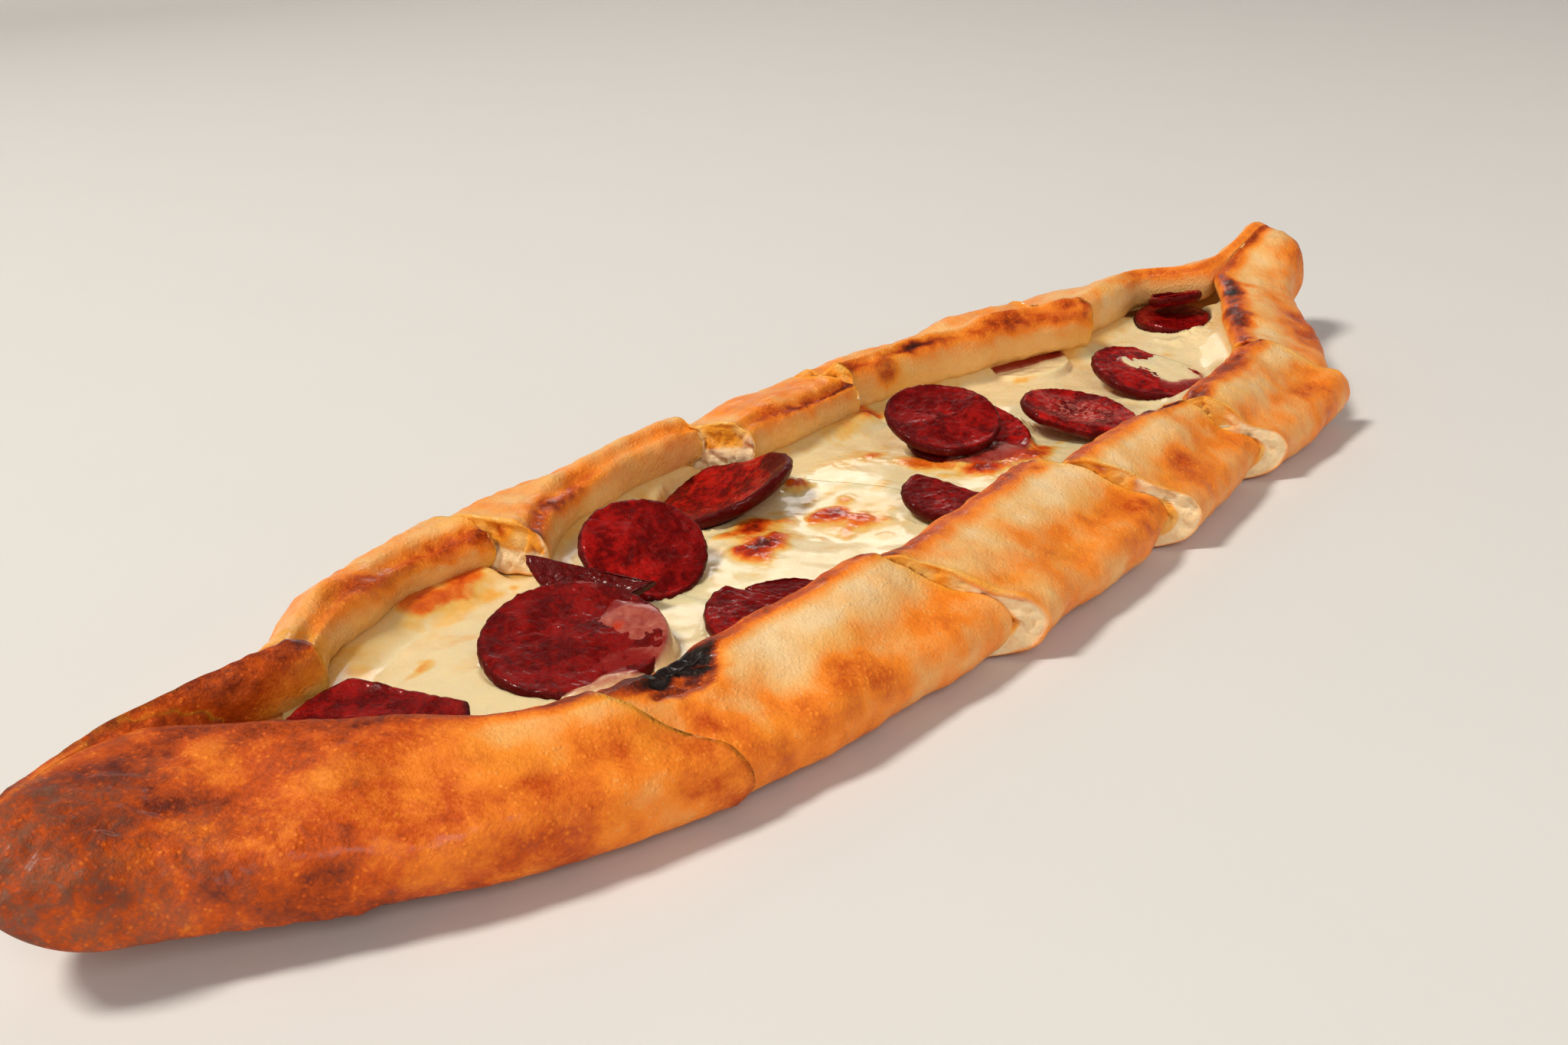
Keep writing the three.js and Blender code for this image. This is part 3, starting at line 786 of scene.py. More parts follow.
def baked(points, piece):
    """How baked each point is: a curve along the way round, plus slow ripples, patches and bands,
    plus the blister."""
    tables = ("sharp_near", "sharp_far") if piece.name == "end_sharp" else ("near", "far")
    near, far = (np.interp(WAY, BAKE_WAY, BAKE[key]) for key in tables)
    bake = np.where(FAR, far, near) + np.zeros(points.shape[:-1])
    if piece.name == "end_sharp":
        fade = smooth(*SHARP_FADE, points[..., 0])
        bake = mix(bake, np.interp(WAY, BAKE_WAY, BAKE["near"]) + SHARP_EXTRA, fade * ~FAR)
    skin = smooth(12, 9, WAY)
    for height, size, seed in ((0.04, 24, 3), (0.035, 9, 4), (0.015, 4, 5)):
        bake = bake + skin * height * ripple(points, size, seed)
    for k, (place, size, turn, much) in enumerate(PATCHES):
        bake = bake + much * spot(points, place, size, turn, seed=k) * skin
    ragged = 0.3 * ripple(points, 5, 6) + 0.2 * ripple(points, 2.6, 7)
    for at, length_half, way, way_half, much in BANDS:
        along = np.abs(points[..., 0] - at) / length_half
        across = np.abs(WAY - way + 0.6 * way_half * ragged) / way_half
        bake = bake + much * np.exp(-(along**3) - across**2) * FAR
    burnt = charred(points)
    middle = (0.16 + 0.14 * ripple(points, 3.0, 44)) * smooth(0.3, 0.8, burnt)
    bake = bake + 0.38 * smooth(0.05, 0.4, burnt) + middle
    return np.minimum(bake, SHARP_DARKEST) if piece.name == "end_sharp" else bake


def charred(points):
    """The burnt blister on the near flap: 1 in its middle, over an ellipse with a ragged edge."""
    u, v = ((points[..., k] - CHAR_AT[k]) / CHAR_HALF[k] for k in (0, 1))
    ragged = 1 + 0.09 * ripple(points, 5, 41) + 0.05 * ripple(points, 2.4, 43)
    return np.exp(-(((u * u + v * v) * ragged**2) ** 1.8)) * ~FAR


def cut_face(rim, cut, outward_sign, settings):
    """The face of a knife cut and how open its crumb is: rows from the rim of a cut section in to
    the line midway between its skins, on the cut's surface, sunk where air bubbles were."""
    share = np.linspace(0, 1, CAP_ROWS + 1)[1:] ** 1.25
    middle = 0.5 * (rim + rim[PARTNER])
    face = mix(rim[None], middle[None], share[:, None, None])
    face[..., 0] = cut_x(cut, face[..., 1])
    outward = np.array([1, -cut[1], 0]) / np.hypot(1, cut[1]) * outward_sign
    bubbles = np.maximum(0, ripple(face, 3.6, 21) + 0.6 * ripple(face, 1.8, 22))
    depth = 0.35 - settings.crumb_depth / MM * bubbles - 0.25 * ripple(face, 7, 23)
    face = face + (depth * smooth(0, 0.35, share)[:, None])[..., None] * outward
    return face, smooth(0, 0.12, share)[:, None] + np.zeros((1, ROUND))


def dough_blank(piece, index, settings):
    """A slice before it is baked: rows of its section from cut to cut, a cut face or a tip's point
    at each end, and for each point how open its crumb is and how far the nearest cut is."""
    tips = index == 0, index == len(SLICES) - 1
    kerf = settings.kerf / MM
    u = np.linspace(0, 1, END_ROWS if any(tips) else ROWS)
    t = u - 0.6 * np.sin(2 * np.pi * u) / (2 * np.pi)
    if tips[0]:
        t = u**1.5
    if tips[1]:
        t = 1 - (1 - u) ** 1.5
    body = dough_rows(piece, index, t, kerf)
    caps, away = [], []
    for tip, end, sign in zip(tips, (0, -1), (-1, 1)):
        if tip:
            caps.append((np.repeat(body[end].mean(0)[None], ROUND, 0)[None], np.zeros((1, ROUND))))
            away.append(NO_CUT)
        else:
            cut = cut_at(index, float(t[end]), kerf, (TIPS["sharp"], TIPS["blunt"]))
            caps.append(cut_face(body[end], cut, sign, settings))
            away.append(np.abs(body - body[end])[..., 0])
    (first, first_open), (last, last_open) = caps
    points = np.concatenate([first[::-1], body, last])
    crumb = np.concatenate([first_open[::-1], np.zeros(body.shape[:2]), last_open])
    edge = np.concatenate([0 * first_open, np.minimum(*away), 0 * last_open])
    rows = len(points)
    number = np.arange(rows * ROUND).reshape(rows, ROUND)
    for row, tip in zip((0, rows - 1), tips):
        number[row] = row * ROUND + (0 if tip else np.minimum(COLUMN, PARTNER))
    return points, crumb, edge, grid_faces(number, True)[:, ::-1]


def dough_lift(points, index, bake, edge, shut, settings):
    """How far the crust stands off its section: broad and small swells, blisters where it is well
    baked, a ridge along each far lip, rounding at the cuts, and the burnt blister."""
    lift = settings.puff / MM * ripple(points, 27, 31)
    lift = lift + settings.dimple / MM * ripple(points, 9, 32) + 0.08 * ripple(points, 3.2, 33)
    lift = lift + 0.2 * smooth(0.55, 0.8, bake) * (0.6 + ripple(points, 3.4, 34))
    ridge = np.exp(-(((WAY - 8.5) / 0.5) ** 2)) - 0.6 * np.exp(-(((WAY - 7.5) / 0.6) ** 2))
    ridge = ridge * FAR * (0 < index < len(CUTS))
    lift = lift + RIDGE_HEIGHT * ridge * (1 + 0.3 * ripple(points, 12, 37))
    lift = lift - CUT_ROUNDING * np.exp(-edge)
    blister = CHAR_HEIGHT + 0.35 * ripple(points, 3.0, 42)
    lift = lift + charred(points) * blister * smooth(10.5, 9, WAY)
    return lift * (1 - 0.8 * shut * smooth(7, 8.2, WAY))


def dough_slice(piece, index, settings):
    """A slice of dough: its blank, baked, with its skins moved along their normals, and what its
    look needs to know at each point."""
    points, crumb, edge, tri = dough_blank(piece, index, settings)
    x, char = points[..., 0], charred(points)
    normal = normals_of(points.reshape(-1, 3), tri).reshape(points.shape)
    skin = (1 - crumb) * smooth(13, 10, WAY)
    above = smooth(0.5, 4, WAY) * smooth(0.2, 3.0, points[..., 2] - tip_rise(x))
    seared = np.exp(-edge / 1.6) * smooth(7.4, 8.2, WAY) * smooth(10.4, 9.4, WAY)
    bake = baked(points, piece) + (0.2 + 0.1 * ripple(points, 6, 39)) * seared * (edge > 0)
    closed = smooth(*SHUT_BEHIND, x) * FAR * smooth(8.6, 9.4, WAY) * (index == 0)
    bake = mix(bake, SHUT_BAKE + 0.04 * ripple(points, 8, 46), closed)
    shut = 1 - smooth(OPENING_FROM, OPENING_FROM + 45, x) * smooth(OPENING_TO, OPENING_TO - 40, x)
    lift = dough_lift(points, index, bake, edge, shut, settings)
    points = points + (lift * skin * above)[..., None] * normal
    within = (1 - crumb) * smooth(10, 13, WAY) * smooth(20, 17, WAY) * (1 - 0.8 * shut)
    points = points + (0.25 * ripple(points, 5, 35) * within)[..., None] * normal
    flour = 0.2 * smooth(5.0, 1.0, points[..., 2] - tip_rise(points[..., 0])) * smooth(0.8, 2, WAY)
    for k, (place, size, much) in enumerate(FLOUR):
        flour = flour + much * spot(points, place, size, 0, 60 + k, 0.4)
    torn = 0.35 * ripple(points, 6, 38)
    far_cut, near_cut = smooth(9.0, 10.4, WAY + 2 * torn), smooth(6.6, 5.6, WAY + torn)
    open_cut = crumb * np.where(FAR, far_cut, near_cut)
    oil = 0.9 * np.exp(-edge / 1.3) * smooth(4.2, 6.5, WAY) + 0.75 * smooth(9.6, 11.4, WAY)
    oil = oil + 0.25 * smooth(0.5, 1.5, ripple(points, 13, 36)) * smooth(4, 6, WAY)
    for place, size, much in OILY:
        oil = oil + much * spot(points, place, size, 0, 48, 0.3)
    fields = {
        "bake": mix(bake, 0.34 + 0.16 * ripple(points, 6, 40), crumb),
        "crumb": open_cut,
        "flour": np.clip(flour, 0, 1) * (1 - crumb),
        "oil": np.clip(oil, 0, 1) * (1 - open_cut) * (1 - closed),
        "char": smooth(0.25, 0.6, char),
    }
    return points.reshape(-1, 3), tri, fields


def dough_look(s):
    """Baked dough: a ramp of crust colours over how baked it is, with soft mottling, pale
    speckles, flour, oily lines, the glossy burnt blister and the pale, open crumb of the cuts."""
    k = Look("baked_dough")
    bake, crumb, flour, oil, char = (k.field(n) for n in ("bake", "crumb", "flour", "oil", "char"))
    broad = k.noise(12, 3, 0.55, 0.3)
    fine = k.noise(2.6, 4, 0.6)
    grain = k.noise(0.8, 3, 0.6)
    speckle = k.step(k.cells(1.4), 0.36, 0.12) * k.step(k.noise(5, 2), 0.35, 0.55)
    deep = k.step(bake, 0.35, 0.65)
    value = bake + (broad - 0.5) * (0.16 + deep * 0.14)
    value = value + (fine - 0.5) * (0.1 + deep * 0.26) + (grain - 0.5) * (0.1 + deep * 0.12)
    value = value - speckle * (0.05 + deep * 0.05)
    crust = k.ramp(
        value,
        [
            (0.0, s.pale),
            (0.2, s.golden),
            (0.42, s.orange),
            (0.63, s.rust),
            (0.82, s.brown),
            (1.0, s.black),
        ],
    )
    pores = k.noise(2.6, 3, 0.6)
    crumb_colour = k.blend(k.step(pores, 0.35, 0.6), k.blend(0.3, s.crumb, s.golden), s.crumb)
    soaked = k.math("MULTIPLY", oil * (1 - k.step(bake, 0.5, 0.75)), 0.55, clamp=True)
    crust = k.blend(soaked, crust, s.oil)
    dusting = k.math("MULTIPLY", flour, k.step(fine + (grain - 0.5) * 0.6, 0.3, 0.7), clamp=True)
    crust = k.blend(dusting * 0.75, crust, s.flour)
    base = k.blend(crumb, crust, crumb_colour)
    wet = k.math("MULTIPLY", oil, 0.6, clamp=True) * (1 - dusting)
    rough = 0.5 + (broad - 0.5) * 0.2 - wet * 0.3 + crumb * 0.25 + dusting * 0.2 - char * 0.25
    gloss = k.step(broad + (fine - 0.5) * 0.5 + (grain - 0.5) * 0.6, 0.42, 0.7, 0.04, 0.36)
    coat = k.math("MULTIPLY", gloss + wet * 0.4 + char * 0.5, (1 - crumb), clamp=True)
    relief = k.noise(1.4, 4, 0.7) * 0.8 + speckle * 0.3 + grain * 0.8 + fine * deep * 0.8
    torn = pores * 1.4 + k.noise(0.9, 3, 0.7) * 0.5
    normal = k.bump(relief * (1 - crumb) + torn * crumb, 0.36)
    return k.finish(
        {
            "IOR": 1.45,
            "Specular IOR Level": 0.3,
            "Specular Tint": (1.0, 0.8, 0.62, 1.0),
            "Subsurface Weight": 0.12,
            "Subsurface Radius": (1.0, 0.42, 0.16),
            "Subsurface Scale": 0.004,
            "Coat Roughness": 0.16,
        },
        {"Base Color": base, "Roughness": rough, "Coat Weight": coat, "Normal": normal},
    )


class PIDE_OT_dough(bpy.types.Operator):
    """Bakes the six slices of dough"""

    bl_idname = "pide.dough"
    bl_label = "Dough"

    def execute(self, context):
        settings = context.scene.pide_dough
        look = dough_look(settings)
        for index, piece in enumerate(SLICES):
            names = f"dough_{piece.name}", f"bread_{piece.name}"
            points, tri, fields = dough_slice(piece, index, settings)
            make_piece(names[0], points, tri, fields, look, names[1])
        return {"FINISHED"}


# ---- Sausage ----


class Round:
    """A round of sausage: centre, radius, lean towards +X and +Y in degrees, cup, the cut that
    ends it, the side of that cut which is kept, and how far its own cut has slipped along X.
    near_rim widens its dark rim on the side of the near flap, marbled shows pale fat in its
    middle, and dried darkens all of it. Each goes from 0 to 1."""

    near_rim = 0.0
    marbled = 0.0
    dried = 0.0

    def __init__(self, number, at, radius, lean, cup, cut=None, keep=0, slip=0.0):
        self.name = f"sausage_{number:02d}"
        self.at, self.radius, self.cup, self.keep = np.array(at, float), radius, cup, keep
        self.cut_at, self.cut_lean = (CUTS[cut][0] + slip, CUTS[cut][1]) if keep else (0, 0)
        toward = np.radians(lean)
        angle = float(np.hypot(*toward))
        turn = Matrix.Rotation(angle, 3, Vector((-toward[1], toward[0], 0)).normalized())
        self.turn = np.array(turn)

    def edge(self, angle):
        """The radius at an angle, a little out of round."""
        wobble = 0.025 * np.sin(2 * angle + self.at[0]) + 0.015 * np.sin(3 * angle + self.at[1])
        return self.radius * (1 + wobble)

    def local(self, x, y):
        """u, v on the face of the round, and its unit height above the table, for a plan point."""
        n = self.turn[:, 2]
        z = self.at[2] - (n[0] * (x - self.at[0]) + n[1] * (y - self.at[1])) / n[2]
        p = np.stack([x - self.at[0], y - self.at[1], z - self.at[2]], -1) @ self.turn
        return p[..., 0], p[..., 1], z

    def share(self, x, y):
        """Distance from the centre over the radius, past 1 outside the round or beyond its cut."""
        u, v, _ = self.local(x, y)
        share = np.hypot(u, v) / self.edge(np.arctan2(v, u))
        if self.keep:
            beyond = -self.keep * (x - self.cut_at - self.cut_lean * y) / self.radius
            share = np.maximum(share, 1 + beyond)
        return share


ROUNDS = [
    Round(1, (-143.5, -1, 15), 18.5, (-9, -4), 0.6, 0, -1, 3.5),
    Round(2, (-96.5, -1.5, 15), 18.4, (-7, -8.5), 0.8),
    Round(3, (-67.5, 17, 26.4), 20, (-36, -17), 1, 1, -1, -6),
    Round(4, (-62.5, 14, 18), 14.5, (-6, -26), 0.6, 1, 1, -6),
    Round(5, (-62.5, -24, 13.8), 14.5, (-5, -6), 0.5, 1, -1),
    Round(6, (-59.5, -27, 13.3), 14, (0, -4), 0.5, 1, 1),
    Round(7, (-20, 29.5, 10.8), 18.5, (-12, 17), 4, 2, -1),
    Round(8, (9, -19, 14), 14, (0, -8), 0.6, 2, -1),
    Round(9, (44, 4.5, 13.6), 17, (-5, -10), 0.6, 2, 1),
    Round(10, (39, 8.6, 18.8), 15.3, (-5, -16), 0.9, 2, 1),
    Round(11, (72, -12, 14.6), 15.5, (6, -10), 0.9, 3, 1),
    Round(12, (107, 28, 10), 13, (0, 7), 0.5),
    Round(13, (113, -9, 14.2), 16.5, (2, -12), 0.6, 4, -1),
    Round(14, (164, 11, 14.6), 12, (-3, -3), 0.8),
    Round(15, (166.5, 11.5, 21), 8, (6, 14), 0.6),
]

# The seventh curls up with a wider dark rim to the near flap; the eleventh and ninth show fat.
ROUNDS[6].near_rim = 1.0
ROUNDS[10].marbled, ROUNDS[8].marbled = 1.0, 0.15

# How far the first eight rounds have dried. The others haven't.
for one, share in zip(ROUNDS, (0.35, 0.5, 0.85, 0.05, 0.3, 0.35, 0.0, 0.35)):
    one.dried = share

ROUND_ANGLES = 132
FACE_RINGS, EDGE_RINGS, BACK_RINGS = 34, 11, 9
CUT_GAP = 0.35  # from a knife cut to the round's own cut face


def sausage_round(one, settings):
    """A round as a profile carried about its middle: out over the face, round the edge and back
    underneath. A cut round is carried about the middle of what is left, and stops at the cut."""
    half = 0.5 * settings.thickness / MM
    face = np.linspace(0.02, 0.9, FACE_RINGS)
    bend = np.linspace(np.pi / 2, -np.pi / 2, EDGE_RINGS)
    tuck = 0.9 * half / one.radius
    back = np.linspace(0.86, 0.02, BACK_RINGS)
    out = np.concatenate([face, 1 - tuck + tuck * np.cos(bend), back])
    high = np.concatenate([half + 0 * face, half * np.sin(bend), -half + 0 * back])
    angle = np.linspace(0, 2 * np.pi, ROUND_ANGLES, endpoint=False)
    way = np.stack([np.cos(angle), np.sin(angle)], -1)
    pole = np.zeros(2)
    line = None
    if one.keep:
        flat = np.array([one.keep, -one.keep * one.cut_lean, 0]) / np.hypot(1, one.cut_lean)
        off = (one.keep * one.cut_at + CUT_GAP) / np.hypot(1, one.cut_lean)
        normal = (flat @ one.turn)[:2]
        inside = (flat @ one.at - off) / np.linalg.norm(normal)
        line = normal / np.linalg.norm(normal)
        pole = line * 0.5 * (one.radius - min(inside, one.radius))
    reach = np.full(ROUND_ANGLES, one.radius)
    for _ in range(6):
        tip = pole + way * reach[:, None]
        limit = one.edge(np.arctan2(tip[:, 1], tip[:, 0]))
        along = way @ pole
        reach = -along + np.sqrt(np.maximum(along**2 - pole @ pole + limit**2, 0.01))
    on_cut = np.zeros(ROUND_ANGLES)
    if line is not None:
        facing = way @ line
        to_line = (-inside - pole @ line) / np.minimum(facing, -1e-6)
        on_cut = (facing < 0) & (to_line < reach)
        reach = np.where(on_cut, to_line, reach)
    uv = pole + way * (reach * out[:, None])[..., None]
    radial = np.hypot(uv[..., 0], uv[..., 1]) / one.radius
    lip = 0.2 * smooth(0.8, 1, out)[:, None] * (1 - on_cut)
    z = one.cup * radial**2 + high[:, None] + lip
    points = np.concatenate([uv, z[..., None]], -1) @ one.turn.T + one.at
    rows = len(points)
    number = np.arange(rows * ROUND_ANGLES).reshape(rows, ROUND_ANGLES)
    number[0], number[-1] = 0, (rows - 1) * ROUND_ANGLES
    points[0], points[-1] = points[0].mean(0), points[-1].mean(0)
    tri = grid_faces(number, True)[:, ::-1]
    normal = normals_of(points.reshape(-1, 3), tri).reshape(points.shape)
    grain = settings.grain / MM * (ripple(points, 2.6, 51) + 0.6 * ripple(points, 1.3, 52))
    warp = 0.35 * ripple(points, 17, 53)
    wide = one.near_rim * smooth(-0.2, 0.6, way @ np.array([0.35, -0.94]))
    rim = smooth(0, 1, (out[:, None] - 0.88 + 0.3 * wide) / (0.11 + 0.03 * wide))
    low = smooth(-0.2, -0.8, high / half)[:, None]
    points = points + ((grain + warp * (1 - rim)) * (1 - low))[..., None] * normal
    fields = {
        "rim": rim * (1 - 0.6 * on_cut * (high > 0.5)[:, None]),
        "cut_edge": on_cut * rim,
        "marbled": one.marbled * smooth(0.85, 0.35, radial) * (high > 0)[:, None],
        "dried": one.dried + 0 * radial,
    }
    return points.reshape(-1, 3), tri, fields


def sausage_look(s):
    """Greasy cured sausage: dark red with a fine grain, small flecks and veins of fat, dried
    places and a darker rim, and smoother, without flecks, where a round was cut through."""
    k = Look("cured_sausage")
    rim, cut, marbled, dried = (k.field(n) for n in ("rim", "cut_edge", "marbled", "dried"))
    cloud = k.noise(6, 3, 0.55, 0.4)
    drift = k.noise(38, 1, 0.5)
    grain = k.noise(1.3, 4, 0.65)
    tiny = k.noise(0.5, 2, 0.5)
    meat = k.blend(k.step(cloud * 0.6 + grain * 0.4, 0.4, 0.62), s.dark, s.meat)
    fat = k.step(k.noise(1.1, 3, 0.6, 0.5), 0.6, 0.72) * k.step(cloud, 0.42, 0.6) * (1 - cut)
    meat = k.blend(fat * 0.4, meat, s.fat)
    veins = k.step(k.noise(1.5, 4, 0.65, 0.8) + (tiny - 0.5) * 0.2, 0.5, 0.6)
    meat = k.blend(veins * marbled * 0.7, meat, s.marbling)
    meat = k.blend(k.step(drift, 0.4, 0.6, 0.55, 0.0), meat, s.dark)
    meat = k.blend(dried * k.step(cloud, 0.3, 0.55, 0.45, 1.0), meat, s.rind)
    base = k.blend(k.step(rim + (cloud - 0.5) * 0.35, 0.55, 1.0) * 0.8, meat, s.rind)
    roughness = 0.34 + grain * 0.25 - cut * 0.15
    relief = grain * 0.7 + tiny * 0.6 + k.noise(3.2, 3) * 0.2
    normal = k.bump(relief, 0.3)
    coat = k.step(cloud + (tiny - 0.5) * 0.8, 0.48, 0.68, 0.02, 0.62) + cut * 0.1
    return k.finish(
        {
            "IOR": 1.45,
            "Specular IOR Level": 0.16,
            "Specular Tint": (1.0, 0.45, 0.4, 1.0),
            "Subsurface Weight": 0.03,
            "Subsurface Radius": (1.0, 0.15, 0.08),
            "Subsurface Scale": 0.002,
            "Coat Roughness": 0.09,
            "Coat IOR": 1.36,
        },
        {"Base Color": base, "Roughness": roughness, "Coat Weight": coat, "Normal": normal},
    )


class PIDE_OT_sausage(bpy.types.Operator):
    """Lays the rounds of sausage"""

    bl_idname = "pide.sausage"
    bl_label = "Sausage"

    def execute(self, context):
        settings = context.scene.pide_sausage
        look = sausage_look(settings)
        for one in ROUNDS:
            points, tri, fields = sausage_round(one, settings)
            make_piece(f"round_{one.name[-2:]}", points, tri, fields, look, one.name)
        return {"FINISHED"}


# ---- Cheese ----

ROUND_HALF = 1.5  # half the thickness of a round, as in its solid
CHEESE_EDGE = 10.0  # its height under the folds
CHEESE_INSET = 12.4  # how far it stops short of the dough's outside
CHEESE_ENDS = (-166.0, 180.0)
CHEESE_ROUNDING = 26.0  # length over which its ends round off
CHEESE_ACROSS = 150  # points across a slab
CHEESE_ALONG = 104  # points along it
CHEESE_KERFS = [0.3, 0.06, 0.3, 0.06, 0.06]  # widths of the knife cuts through it

# The cheese's lip under the far flap lets go here: where along the bread, and half how wide.
LIP_GAPS = [(-78, 4), (-7, 5), (170, 12)]

# Browned and blistered places on the cheese: place, half sizes, turn, how brown, and how high it
# stands up.
TOASTED = [
    ((-29.5, 12.5), (7, 4.2), 10, 0.8, 0.9),
    ((-37, 2.5), (7.5, 5), 15, 0.95, 1.3),
    ((-33, 8), (13, 9), 20, 0.24, 0.1),
    ((-11.5, 2.5), (5, 5), 30, 0.85, 0.9),
    ((-11, -5), (6, 5), 30, 0.55, 0.6),
    ((-12, -4), (12, 9), 10, 0.24, 0.1),
    ((-91, 42), (9, 4), 20, 0.62, 0.7),
    ((-102, 42), (9, 4.5), 25, 0.58, 0.7),
    ((-96, 36), (14, 5), 15, 0.24, 0.1),
    ((-118, 19), (3.5, 1.6), 30, 0.34, 0.1),
    ((-83.5, 33.5), (2.5, 1.2), 60, 0.3, 0.0),
    ((22.5, 18.5), (4.5, 2.6), 10, 0.48, 0.3),
    ((30, 34), (5, 2.5), 10, 0.2, 0.1),
    ((45, 39), (5, 2.5), -10, 0.6, 0.3),
    ((6.5, 3.5), (5, 2), 0, 0.25, 0.1),
    ((1, 12), (6, 2), 0, 0.22, 0.1),
    ((25, 4), (4.5, 9), 15, 0.55, 0.6),
    ((30, -10), (8, 4), -30, 0.8, 0.7),
    ((46, -14), (9, 4), -10, 0.7, 0.6),
    ((98, 20), (9, 2.5), -15, 0.28, 0.2),
    ((-5, 21.5), (3.6, 3), 0, 0.6, 1.6),
    ((-89.5, -6.5), (2.2, 1.6), 0, 0.6, 0.4),
    ((110.5, -8.5), (2.4, 2), 0, 0.6, 0.4),
    ((60, 32), (10, 3), -12, 0.2, 0.1),
    ((15, 22), (12, 6), 0, 0.16, 0.1),
    ((-112, 12), (8, 5), 20, 0.12, 0.1),
    ((138, -2), (6, 3), 30, 0.14, 0.1),
    ((156.5, -2), (4.5, 3.6), 0, 0.0, 1.6),
    ((59.5, -0.5), (3.2, 2.6), 0, 0.0, 3.2),
    ((31, -3.5), (3, 2.2), 0, 0.0, 1.5),
    ((150, 1), (4, 3), 20, 0.0, 0.9),
]

# Cheese that ran over a round: the round's number, place, half sizes, turn, how thick, and how
# much of the meat it hides.
FILMS = [
    (2, (-87.5, -9.5), (7.5, 10), 25, 0.5, 0.58),
    (2, (-103, -17.5), (8, 2.6), -14, 0.8, 0.7),
    (9, (37, -8), (14, 5), -15, 0.7, 0.4),
    (13, (119.5, -12), (11, 10), 10, 0.9, 1.0),
    (12, (107, 20), (21, 13.5), -8, 1.1, 1.0),
]


def cheese_height(x, y, piece, t, settings):
    """The cheese's top over its plan points: low waves, thinner under the flaps, raised where it
    meets the dough's lips and the rounds, sunk beneath the rounds, and lifted over some. Also how
    brown it is, where it is a film, how much that hides, and how greasy it is."""
    flat = np.stack([x, y, 0 * x], -1)
    side = np.where(y < 0, half_width(x, "near"), half_width(x, "far"))
    across = np.clip(y / np.maximum(side - CHEESE_INSET, 3), -1, 1)
    waves = 0.5 * np.sin(x / 11 + 3 * across) + 0.35 * np.sin(x / 6.5 - 4 * across + 1)
    top = mix(CHEESE_EDGE, settings.thickness / MM + waves, 1 - smooth(0.55, 1, np.abs(across)))
    top = top + 0.08 * ripple(flat, 9, 71) + 0.012 * ripple(flat, 4, 72)
    toast = 0 * x
    for k, (place, size, turn, much, stands) in enumerate(TOASTED):
        one = spot(flat, place, size, turn, 80 + k, 0.2, 1.1)
        toast = np.maximum(toast, much * one)
        top = top + settings.blister / MM * stands * one * (1 + 0.25 * ripple(flat, 2.2, 90 + k))
    top = top * fullness(x) + tip_rise(x)
    near, far = lip_lines(piece, x, t)
    under_far = (piece.far.top - piece.far.wall) * fullness(x) + tip_rise(x)
    under_near = (piece.near.top - piece.near.wall) * fullness(x) + tip_rise(x)
    held = np.ones_like(x)
    for gap, half in LIP_GAPS:
        held = held * (1 - np.exp(-(((x - gap) / half) ** 4)))
    rise_far = smooth(-7, 0.5, y - far) * np.maximum(0, under_far + 1.6 - top) * held
    short = 1.0 + 1.4 * smooth(126, 140, x)
    rise_near = smooth(10, -0.5, y - near) * np.maximum(0, under_near - short - top)
    top = top + rise_far + rise_near
    toast = np.maximum(toast, 0.17 * smooth(-9, -1, y - far) + 0.1 * smooth(9, 1, y - near))
    film, hidden, grease = (0 * x for _ in range(3))
    for number, one in enumerate(ROUNDS, 1):
        u, v, plane = one.local(x, y)
        share = one.share(x, y)
        radial = np.hypot(u, v) / one.radius
        up = 1 / one.turn[2, 2]
        bottom = plane + (one.cup * radial**2 - ROUND_HALF) * up
        ceiling = plane + (one.cup * radial**2 + ROUND_HALF) * up
        near_edge = np.exp(-np.maximum(share - 1, 0) * one.radius / 1.8)
        touching = smooth(-1.5, 1.5, top + 1.5 - bottom)
        lapped = np.minimum(top + 0.9 * near_edge, np.maximum(ceiling - 0.4, top))
        top = np.where(share >= 1, mix(top, lapped, touching), top)
        below = bottom - 0.25
        sunk = np.where(top > below, mix(top, below, smooth(1.04, 0.97, share)), top)
        top = np.where(share < 1.04, np.minimum(top, sunk), top)
        grease = np.maximum(grease, 0.5 * near_edge * (share >= 1) * touching)
        for which, place, size, turn, thick, hides in FILMS:
            if which == number:
                cover = spot(flat, place, size, turn, 120 + which, 0.15, 1.3)
                over = ceiling - 1.2 + (1.6 + 0.6 * thick) * cover**0.5
                over = over + 0.06 * ripple(flat, 5, 130 + which)
                over = mix(over, top, smooth(0.98, 1.1, share))
                lifted = (cover > 0.12) & (share < 1.1)
                film = np.where(lifted, np.maximum(film, smooth(1.06, 0.98, share)), film)
                hides = hides * (1 - 0.9 * smooth(-4.5, -1.5, y - far))
                hides = hides * smooth(0.2, 0.75, cover)
                hidden = np.where(lifted, np.maximum(hidden, hides), hidden)
                top = np.where(lifted, np.maximum(top, over), top)
                foot = smooth(-5, 0.5, y - far) * np.maximum(0, under_far + 0.8 - top) * held
                top = np.where(lifted, top + foot, top)
    return top, toast, film, hidden, grease


